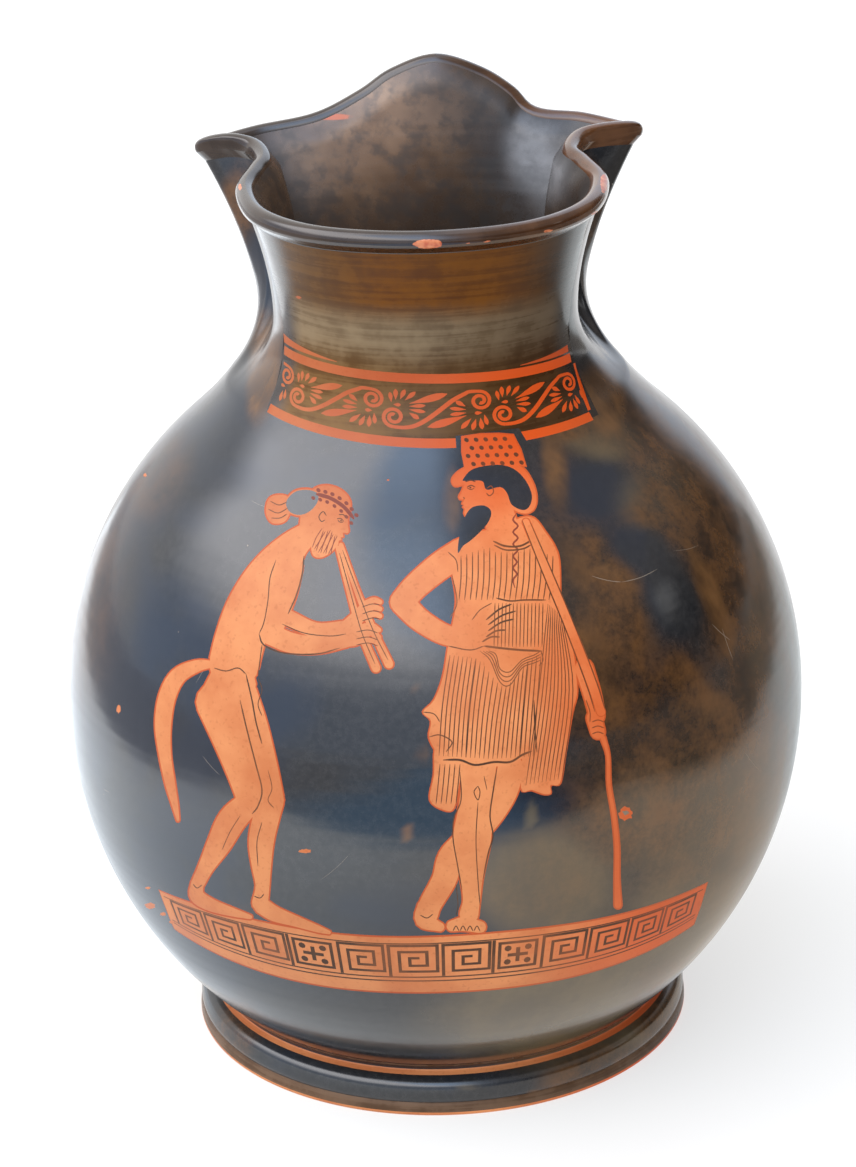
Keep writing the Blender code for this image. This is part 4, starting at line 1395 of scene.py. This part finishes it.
class Shading:
    """A tree of shader nodes, with a plain word for each kind of node."""

    def __init__(self, tree):
        self.tree = tree

    def add(self, kind, **settings):
        made = self.tree.nodes.new("ShaderNode" + kind)
        for name, value in settings.items():
            setattr(made, name, value)
        return made

    def feed(self, socket, value):
        """Links a value that varies to a socket, or sets a plain number, colour or size there."""
        if isinstance(value, bpy.types.NodeSocket):
            self.tree.links.new(value, socket)
        else:
            socket.default_value = (*value, 1.0) if socket.type == "RGBA" else value

    def feed_all(self, node, **values):
        for name, value in values.items():
            self.feed(node.inputs[name.replace("_", " ")], value)
        return node.outputs

    def reckon(self, operation, *values, clamp=False):
        made = self.add("Math", operation=operation, use_clamp=clamp)
        for socket, value in zip(made.inputs, values):
            self.feed(socket, value)
        return made.outputs[0]

    def plus(self, a, b):
        return self.reckon("ADD", a, b)

    def minus(self, a, b):
        return self.reckon("SUBTRACT", a, b)

    def times(self, a, b):
        return self.reckon("MULTIPLY", a, b)

    def most(self, a, b):
        return self.reckon("MAXIMUM", a, b)

    def mix(self, share, a, b, blend="MIX"):
        """Between two colours."""
        made = self.add("Mix", data_type="RGBA", blend_type=blend)
        for index, value in ((0, share), (6, a), (7, b)):
            self.feed(made.inputs[index], value)
        return made.outputs[2]

    def mix_value(self, share, a, b):
        """Between two numbers."""
        made = self.add("Mix", data_type="FLOAT")
        for index, value in ((0, share), (2, a), (3, b)):
            self.feed(made.inputs[index], value)
        return made.outputs[0]

    def ranged(self, value, low, high, to_low=0.0, to_high=1.0, kind="SMOOTHSTEP"):
        """A value's share of the way from low to high, put between two others."""
        made = self.add("MapRange", interpolation_type=kind)
        return self.feed_all(made, Value=value, From_Min=low, From_Max=high, To_Min=to_low, To_Max=to_high)[0]

    def noise(self, where, scale, detail=4.0, rough=0.55, twist=0.0):
        made = self.add("TexNoise")
        self.feed_all(made, Vector=where, Scale=scale, Detail=detail, Roughness=rough, Distortion=twist)
        return made.outputs["Fac"]

    def stretched(self, where, scale, turn=(0.0, 0.0, 0.0)):
        return self.feed_all(self.add("Mapping"), Vector=where, Scale=scale, Rotation=turn)[0]

    def split(self, colour):
        return self.feed_all(self.add("SeparateColor"), Color=colour)

    def place_parts(self, where):
        return self.feed_all(self.add("SeparateXYZ"), Vector=where)

    def group(self, group, **values):
        return self.feed_all(self.add("Group", node_tree=group), **values)


def new_group(name, inputs, outputs):
    """A group of shader nodes, what comes in and what it puts out."""
    tree = bpy.data.node_groups.new(name, "ShaderNodeTree")
    for way, sockets in (("INPUT", inputs), ("OUTPUT", outputs)):
        for label, kind in sockets.items():
            tree.interface.new_socket(label, in_out=way, socket_type="NodeSocket" + kind)
    return Shading(tree), tree.nodes.new("NodeGroupInput").outputs, tree.nodes.new("NodeGroupOutput")


def slip_colour_group():
    """Fired slip: blue-black, with olive, brown and orange stains from the kiln's air or the soil."""
    made, entry, out = new_group(
        "fired_slip", {"Where": "Vector", "Stain": "Color"},
        {"Colour": "Color", "Rust": "Float", "Film": "Float"})
    where = entry["Where"]
    brown_stain, olive_stain, orange_stain = made.split(entry["Stain"])
    broad = made.noise(where, 22.0, 3.0, 0.6, 0.4)
    fine = made.noise(where, 85.0, 4.0, 0.62)
    streaky = made.noise(made.stretched(where, (95.0, 95.0, 26.0), (0.0, 0.5, 0.0)), 1.0, 3.0, 0.65)
    grit = made.noise(where, 560.0, 4.0, 0.75)
    mottle = made.ranged(made.plus(made.times(fine, 0.7), made.times(streaky, 0.9)), 0.62, 1.0)
    uneven = made.times(made.minus(broad, 0.5), 0.6)

    def patch(stain, least):
        """An uneven stain, mottled down to its least share."""
        spread = made.ranged(made.plus(stain, made.times(uneven, stain)), 0.05, 0.9)
        mottled = made.plus(made.times(mottle, 1.0 - least), least)
        return made.reckon("MULTIPLY", spread, mottled, clamp=True)

    rust, olive, orange = patch(brown_stain, 0.72), patch(olive_stain, 0.75), patch(orange_stain, 0.6)
    black = made.mix(made.ranged(grit, 0.28, 0.74), (0.010, 0.010, 0.011), (0.024, 0.023, 0.023))
    colour = made.mix(made.ranged(broad, 0.42, 0.62, 0.0, 0.8), black, (0.010, 0.015, 0.026))
    colour = made.mix(olive, colour, (0.118, 0.084, 0.043))
    patchy = made.plus(made.times(fine, 0.6), made.times(grit, 0.4))
    brown = made.mix(made.ranged(patchy, 0.35, 0.65), (0.027, 0.012, 0.004), (0.112, 0.045, 0.011))
    rusty = made.mix(made.ranged(streaky, 0.35, 0.65), (0.090, 0.038, 0.010), (0.15, 0.066, 0.020))
    colour = made.mix(orange, made.mix(rust, colour, brown), rusty)
    made.feed_all(out, Colour=colour, Rust=made.most(rust, orange), Film=fine)
    return made.tree


def clay_colour_group():
    """Bare fired clay: salmon orange, redder in places, with soft clouds and specks."""
    made, entry, out = new_group(
        "fired_clay", {"Where": "Vector", "Red": "Float"}, {"Colour": "Color", "Cloud": "Float"})
    cloud = made.noise(entry["Where"], 55.0, 4.0, 0.6)
    speck = made.noise(entry["Where"], 900.0, 1.0, 0.7)
    base = made.mix(made.ranged(cloud, 0.32, 0.68), (0.440, 0.133, 0.044), (0.540, 0.199, 0.072))
    base = made.mix(made.times(made.ranged(speck, 0.58, 0.74), 0.24), base, (0.25, 0.062, 0.016))
    made.feed_all(out, Colour=made.mix(entry["Red"], base, (0.500, 0.060, 0.006)), Cloud=cloud)
    return made.tree


def surface_relief_group():
    """Height of the surface: turning lines and hand-smoothed swells."""
    made, entry, out = new_group("turned_surface", {"Where": "Vector"}, {"Height": "Float"})
    total = made.noise(entry["Where"], 24.0, 1.0, 0.5)
    for scale, share in (((9.0, 9.0, 420.0), 0.10), ((4.0, 4.0, 60.0), 0.75)):
        lines = made.noise(made.stretched(entry["Where"], scale), 1.0, 0.0, 0.5)
        total = made.plus(total, made.times(lines, share))
    made.feed_all(out, Height=total)
    return made.tree


# Heights where the lip's paint starts, and where the looks of the belly pass into those of the neck
LIP_PAINT = 0.2212
NECK_FOOT = 0.150
NECK_TOP = 0.176


class Finish(Shading):
    """A material of the jug, with its shader and the place on the jug."""

    def __init__(self, name, ior):
        self.material = bpy.data.materials.new(name)
        self.material.use_nodes = True
        super().__init__(self.material.node_tree)
        self.shader = self.tree.nodes["Principled BSDF"]
        self.feed_all(self.shader, IOR=ior)
        self.where = self.add("TexCoord").outputs["Object"]
        self.across, self.along, self.height = self.place_parts(self.where)

    def attribute(self, name):
        return self.add("Attribute", attribute_name=name).outputs

    def relief(self, group, strength=0.55, distance=0.0006):
        height = self.group(group, Where=self.where)["Height"]
        bump = self.feed_all(self.add("Bump"), Strength=strength, Distance=distance, Height=height)
        self.feed_all(self.shader, Normal=bump[0])

    def spot(self, place, size):
        """Mask of one small round mark: 1 within it."""
        shift = self.add("VectorMath", operation="SUBTRACT")
        scaled = self.add("VectorMath", operation="DIVIDE")
        length = self.add("VectorMath", operation="LENGTH")
        for node, values in ((shift, (self.where, place)), (scaled, (shift.outputs[0], size)),
                             (length, (scaled.outputs[0],))):
            for socket, value in zip(node.inputs, values):
                self.feed(socket, value)
        return self.ranged(length.outputs["Value"], 0.7, 1.1, 1.0, 0.0)


def painted_slip(slip, relief):
    """Glossy black slip with small pits and pale scratches."""
    made = Finish("painted_slip", 1.6)
    pale = made.split(made.attribute("paint")["Color"])[0]
    fired = made.group(slip, Where=made.where, Stain=made.attribute("stain")["Color"])
    pits = made.feed_all(made.add("TexVoronoi"), Vector=made.where, Scale=230.0)
    chosen = made.ranged(made.split(pits["Color"])[0], 0.94, 0.95, kind="LINEAR")
    pitted = made.times(made.ranged(pits["Distance"], 0.03, 0.07, 1.0, 0.0), chosen)
    # Pale pits and scratches, and a painted highlight on one chip, all in the same pale colour.
    dust_and_glint = made.most(made.times(pale, 0.7), made.times(pitted, 0.5))
    gloss = made.plus(made.ranged(fired["Film"], 0.3, 0.72, 0.13, 0.20), made.times(fired["Rust"], 0.05))
    colour = made.mix(dust_and_glint, fired["Colour"], (0.36, 0.28, 0.20))
    made.feed_all(made.shader, Base_Color=colour, Roughness=made.mix_value(dust_and_glint, gloss, 0.5))
    made.relief(relief)
    return made.material


def bare_clay(clay, relief):
    """The clay left bare in the drawn parts, with its dull outline, brown brush lines and dull red."""
    made = Finish("bare_clay", 1.30)
    across, height = made.across, made.height
    halo, line, red = made.split(made.attribute("paint")["Color"])
    _, olive, orange = made.split(made.attribute("stain")["Color"])
    at_neck = made.ranged(height, NECK_FOOT, NECK_TOP)
    upper = made.times(at_neck, made.ranged(across, -0.045, 0.025, 0.25, 1.0))
    redness = made.most(upper, made.ranged(across, 0.014, 0.056, 0.0, 0.85))
    redness = made.most(made.most(redness, made.times(halo, 0.80)), orange)
    fired = made.group(clay, Where=made.where, Red=redness)
    faded = made.times(at_neck, made.ranged(across, -0.01, 0.035, 0.42, 0.0))
    faded = made.most(faded, made.times(halo, 0.35))
    colour = made.mix(faded, fired["Colour"], (0.16, 0.030, 0.008))
    colour = made.mix(made.times(olive, 0.12), colour, (0.16, 0.11, 0.045))
    thick = made.ranged(fired["Cloud"], 0.30, 0.62, 0.70, 1.0)
    colour = made.mix(made.times(line, thick), colour, (0.050, 0.021, 0.009))
    colour = made.mix(made.times(red, 0.9), colour, (0.130, 0.020, 0.012))
    # The clay is made lighter towards the right.
    lighter_to_right = made.mix(made.ranged(across, -0.024, 0.018), (1.0, 1.0, 1.0), (1.32, 1.29, 1.25))
    made.feed_all(made.shader, Base_Color=made.mix(1.0, colour, lighter_to_right, "MULTIPLY"),
                  Roughness=made.ranged(fired["Cloud"], 0.3, 0.7, 0.34, 0.46))
    made.relief(relief, 0.5)
    return made.material


def thin_brown_slip(relief):
    """Slip that fired thin and brown at the neck's band, lip and foot's edge: duller, chipped at the lip."""
    made = Finish("thin_brown_slip", 1.24)
    across, height = made.across, made.height
    fine = made.noise(made.where, 130.0, 3.0, 0.62)
    streak = made.noise(made.stretched(made.where, (18.0, 18.0, 700.0)), 1.0, 3.0, 0.62)
    crumbs = made.noise(made.where, 620.0, 1.0, 0.6)
    drift = made.plus(height, made.times(made.minus(fine, 0.5), 0.004))
    band = made.mix(made.ranged(across, -0.030, 0.036), (0.160, 0.080, 0.024), (0.064, 0.027, 0.008))
    # The pale grey-olive band low on the neck: partly the slip's own tone, partly a painted highlight.
    grey = made.mix(made.ranged(across, -0.010, 0.040), (0.215, 0.148, 0.080), (0.110, 0.072, 0.040))
    upper = made.mix(made.ranged(across, -0.034, -0.006), (0.116, 0.054, 0.013), (0.148, 0.047, 0.002))
    upper = made.mix(made.ranged(across, 0.016, 0.034), upper, (0.036, 0.014, 0.002))
    colour = made.mix(made.ranged(drift, 0.189, 0.199), band, grey)
    colour = made.mix(made.ranged(drift, 0.201, 0.209), colour, upper)
    colour = made.mix(made.ranged(height, 0.05, 0.10, 1.0, 0.0), colour, (0.135, 0.078, 0.045))
    turn = made.reckon("ARCTAN2", across, made.minus(AXIS_BACK, made.along))
    edge = made.ranged(made.reckon("ABSOLUTE", turn), 0.76, 0.93)
    edge = made.times(edge, made.ranged(height, 0.05, 0.10))
    colour = made.mix(edge, colour, (0.030, 0.020, 0.014))
    lip = made.mix(made.ranged(across, -0.010, 0.050), (0.034, 0.019, 0.011), (0.110, 0.040, 0.012))
    colour = made.mix(made.ranged(height, LIP_PAINT, 0.2218), colour, lip)
    grain = made.plus(made.times(fine, 0.5), made.times(streak, 0.5))
    darker = made.mix(1.0, colour, (0.56, 0.50, 0.44), "MULTIPLY")
    colour = made.mix(made.ranged(grain, 0.36, 0.62), darker, colour)
    ragged = made.plus(made.attribute("stain")["Alpha"], made.times(made.minus(crumbs, 0.5), 0.55))
    bare = made.times(made.ranged(ragged, 0.46, 0.54), made.ranged(height, 0.219, 0.221))
    chip = made.mix(made.ranged(crumbs, 0.35, 0.7), (0.46, 0.085, 0.022), (0.60, 0.19, 0.07))
    gloss = made.ranged(grain, 0.35, 0.65, 0.22, 0.34)
    coat = made.most(made.ranged(height, LIP_PAINT, 0.2220), made.times(edge, 0.9))
    made.feed_all(made.shader, Base_Color=made.mix(bare, colour, chip), Coat_Weight=coat,
                  Roughness=made.mix_value(bare, gloss, 0.5), Coat_Roughness=0.08)
    made.relief(relief)
    return made.material


def inner_wall(relief):
    """The unpainted inside: thin grey-brown slip, finely grained; painted light in the middle of the back
    wall, painted shade at its sides and deep down, and a pale painted reflection at one side.
    """
    made = Finish("inner_wall", 1.5)
    cloud = made.noise(made.where, 42.0, 3.0, 0.6, 0.3)
    grain = made.noise(made.where, 190.0, 4.0, 0.65)
    colour = made.mix(made.ranged(cloud, 0.34, 0.66), (0.052, 0.034, 0.024), (0.120, 0.080, 0.054))
    colour = made.mix(made.ranged(grain, 0.42, 0.66, 0.0, 0.7), colour, (0.034, 0.029, 0.027))
    # Painted light and shade across the back wall: lit in the middle, shaded at the sides.
    aside = made.ranged(made.reckon("ABSOLUTE", made.plus(made.across, 0.014)), 0.0, 0.034)
    colour = made.mix(1.0, colour, made.mix(aside, (2.50, 2.22, 1.92), (0.42, 0.40, 0.38)), "MULTIPLY")
    # A pale patch from the olive stain channel: a painted reflection on the back wall.
    patchy = made.split(made.attribute("stain")["Color"])[1]
    pale = made.times(patchy, made.ranged(grain, 0.3, 0.7, 1.0, 0.6))
    colour = made.mix(pale, colour, (0.320, 0.320, 0.325))
    # Painted shade: the inside turns near black from just under the lip down into the jug.
    colour = made.mix(made.ranged(made.height, 0.185, 0.222), (0.022, 0.017, 0.014), colour)
    marks = made.most(made.spot((-0.0335, 0.0285, 0.2265), (0.0045, 0.0040, 0.0009)),
                      made.spot((-0.0225, 0.0370, 0.2295), (0.0055, 0.0040, 0.0008)))
    marks = made.times(marks, made.ranged(grain, 0.30, 0.42))
    made.feed_all(made.shader, Base_Color=made.mix(marks, colour, (0.46, 0.11, 0.04)),
                  Roughness=made.ranged(grain, 0.3, 0.7, 0.22, 0.36))
    made.relief(relief, 0.8, 0.0008)
    return made.material


# Studio
ROOM_RINGS = (0.07, 0.36, 3.0)
ROOM_STEPS = 48
ROOM_START = -155.0
ROOM_ARC = 301.0
FLOOR_REACH = 4.0
SENSOR_WIDTH = 36.0


def plain_material(name):
    """A material whose glow isn't sampled as a lamp."""
    made = bpy.data.materials.new(name)
    made.use_nodes = True
    made.cycles.emission_sampling = "NONE"
    return made, Shading(made.node_tree)


def pale_floor():
    """A pale light table, darker before the jug."""
    corners = [(x * FLOOR_REACH, y * FLOOR_REACH, 0.0) for x, y in ((-1, -1), (1, -1), (1, 1), (-1, 1))]
    mesh = bpy.data.meshes.new("floor")
    mesh.from_pydata(corners, [], [range(4)])
    material, made = plain_material("pale_floor")
    along = made.place_parts(made.add("TexCoord").outputs["Object"])["Y"]
    shine = made.mix(made.ranged(along, -0.26, -0.06), (0.42, 0.43, 0.44), (0.62, 0.62, 0.62))
    made.feed_all(made.tree.nodes["Principled BSDF"], Base_Color=(0.34, 0.325, 0.30), Roughness=0.8,
                  Emission_Color=shine, Emission_Strength=1.0, Specular_IOR_Level=0.1)
    mesh.materials.append(material)
    return put_in_scene("floor", mesh)


def dim_room_material():
    """Bright paper under the jug, and about it the dim room."""
    material, made = plain_material("dim_room")
    made.tree.nodes.remove(made.tree.nodes["Principled BSDF"])
    across, along, _ = made.place_parts(made.add("TexCoord").outputs["Object"])
    to_left = made.ranged(across, -0.40, -0.15, 1.0, 0.0)
    room = made.mix(made.ranged(across, 0.02, 0.30), (0.45, 0.85, 1.35), (0.05, 0.05, 0.04))
    room = made.mix(made.ranged(across, 0.36, 0.56), room, (0.30, 0.27, 0.24))
    room = made.mix(to_left, room, (0.70, 0.69, 0.71))
    beyond = made.mix(made.ranged(along, -0.02, 0.13), (1.50, 1.30, 1.08), (1.10, 1.16, 1.18))
    paper = made.mix(made.ranged(across, -0.12, 0.16), (2.05, 2.20, 2.35), beyond)
    paper = made.mix(to_left, paper, (2.05, 2.08, 2.12))
    # Near the foot the paper darkens: a painted shadow of the jug, seen only in its gloss.
    far = made.reckon("SQRT", made.plus(made.times(across, across), made.times(along, along)))
    paper = made.mix(made.ranged(far, 0.06, 0.28, 0.45, 0.0), paper, (0.0, 0.0, 0.0))
    skewed = made.minus(across, made.times(made.most(along, 0.0), 0.27))
    on_paper = made.times(made.ranged(skewed, 0.335, 0.375, 1.0, 0.0), made.ranged(across, -0.385, -0.355))
    on_paper = made.times(on_paper, made.ranged(along, -0.305, -0.275))
    glow = made.feed_all(made.add("Emission"), Color=made.mix(on_paper, room, paper))
    made.feed_all(made.tree.nodes["Material Output"], Surface=glow[0])
    return material


def dim_room():
    """What the jug's gloss shows of the room: a flat ring just above the floor, open at the back."""
    angles = [math.radians(ROOM_START + ROOM_ARC * i / ROOM_STEPS) for i in range(ROOM_STEPS + 1)]
    points = [(r * math.sin(a), -r * math.cos(a), 0.001) for r in ROOM_RINGS for a in angles]
    faces = [(a, d, c, b) for a, b, c, d in grid_faces(len(ROOM_RINGS) - 1, ROOM_STEPS)]
    mesh = bpy.data.meshes.new("dim_room")
    mesh.from_pydata(points, [], faces)
    mesh.materials.append(dim_room_material())
    card = put_in_scene("dim_room", mesh)
    for kind in ("camera", "diffuse", "shadow", "transmission", "volume_scatter"):
        setattr(card, "visible_" + kind, False)
    return card


def window_light():
    """Soft daylight: a large window high at the front left, bright paper behind, a dim room at the right."""
    world = bpy.data.worlds.new("studio")
    bpy.context.scene.world = world
    world.use_nodes = True
    made = Shading(world.node_tree)
    sideways, onwards, upwards = made.place_parts(made.add("TexCoord").outputs["Generated"])
    degree = 180.0 / math.pi
    turn = made.times(made.reckon("ARCTAN2", sideways, made.times(onwards, -1.0)), degree)
    rise = made.times(made.reckon("ARCSINE", upwards), degree)
    tall = made.times(made.ranged(rise, 14.0, 38.0), made.ranged(rise, 55.0, 82.0, 1.0, 0.5))
    from_left = made.ranged(turn, -124.0, -104.0)
    window = made.times(made.times(tall, from_left), made.ranged(turn, -4.0, 26.0, 1.0, 0.0))
    slant = made.plus(turn, made.times(made.minus(rise, 60.0), 1.6))
    pane = made.mix(made.ranged(slant, -58.0, -26.0), (4.9, 4.9, 5.1), (2.6, 3.4, 4.6))
    left_room = made.mix(from_left, (1.15, 1.17, 1.2), (0.85, 1.00, 1.25))
    left_room = made.mix(made.ranged(onwards, 0.15, 0.6), left_room, (1.15, 1.15, 1.15))
    wall = made.mix(made.ranged(rise, 12.0, 32.0), (0.075, 0.07, 0.065), (0.47, 0.43, 0.40))
    right_room = made.mix(made.ranged(turn, 140.0, 150.0), wall, (1.05, 1.15, 1.30))
    room = made.mix(made.ranged(turn, 0.0, 40.0), left_room, right_room)
    aside = made.times(made.minus(turn, 88.0), 0.16)
    lift = made.times(made.minus(rise, 19.0), 0.22)
    reach = made.plus(made.times(aside, aside), made.times(lift, lift))
    room = made.mix(made.ranged(reach, 0.0, 1.0, 0.9, 0.0), room, (1.6, 1.6, 1.6))
    room = made.mix(made.ranged(rise, 62.0, 88.0), room, (1.6, 1.7, 1.9))
    made.feed_all(made.tree.nodes["Background"], Color=made.mix(window, room, pane), Strength=1.0)


def look_from_photograph():
    """Camera at the photograph's place and angle."""
    eye, right, up, ahead = eye_frame()
    camera = bpy.data.cameras.new("camera")
    camera.sensor_fit = "HORIZONTAL"
    camera.sensor_width = SENSOR_WIDTH
    camera.lens = STEPS_PER_DISTANCE / PICTURE_WIDTH * SENSOR_WIDTH
    holder = put_in_scene("camera", camera)
    turned = Matrix((right, up, -ahead)).transposed().to_4x4()
    turned.translation = eye
    holder.matrix_world = turned
    bpy.context.scene.camera = holder


PICTURE_GROUND = [(455.5, 436), (519, 428), (526, 440), (531, 455), (534, 472), (458, 474)]
HALO_WIDTH = 1.5


def paint_the_jug():
    """All painted shapes, the later over the earlier."""
    p = Painting()
    tree = repeat_tree()
    clay = bpy.data.materials.new("ornament_clay")
    neck_band(p, tree, clay)
    key_band(p, tree, clay)
    worn_flecks_and_glint(p)
    p.corners(SLIP, PICTURE_GROUND)
    for kind, grow in ((HALO, HALO_WIDTH), (CLAY, 0.0)):
        for fill in (piper_fill, piper_head, wearer_fill, wearer_head):
            fill(p, kind, grow)
    piper_marks(p)
    wearer_marks(p)
    bpy.data.materials.remove(clay)
    return p


def make_jug():
    blocks = [skin_block(paint_the_jug())] + lip_blocks() + [inside_block()] + foot_blocks() + [strap_block()]
    mesh = jug_mesh(blocks)
    jug = put_in_scene("painted_jug", mesh)
    slip, clay, relief = slip_colour_group(), clay_colour_group(), surface_relief_group()
    mesh.materials.append(painted_slip(slip, relief))
    mesh.materials.append(inner_wall(relief))
    mesh.materials.append(bare_clay(clay, relief))
    mesh.materials.append(thin_brown_slip(relief))
    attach(jug, "root")
    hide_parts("jug")


make_jug()
pale_floor()
dim_room()
window_light()
look_from_photograph()
bpy.context.scene.view_settings.view_transform = "Standard"
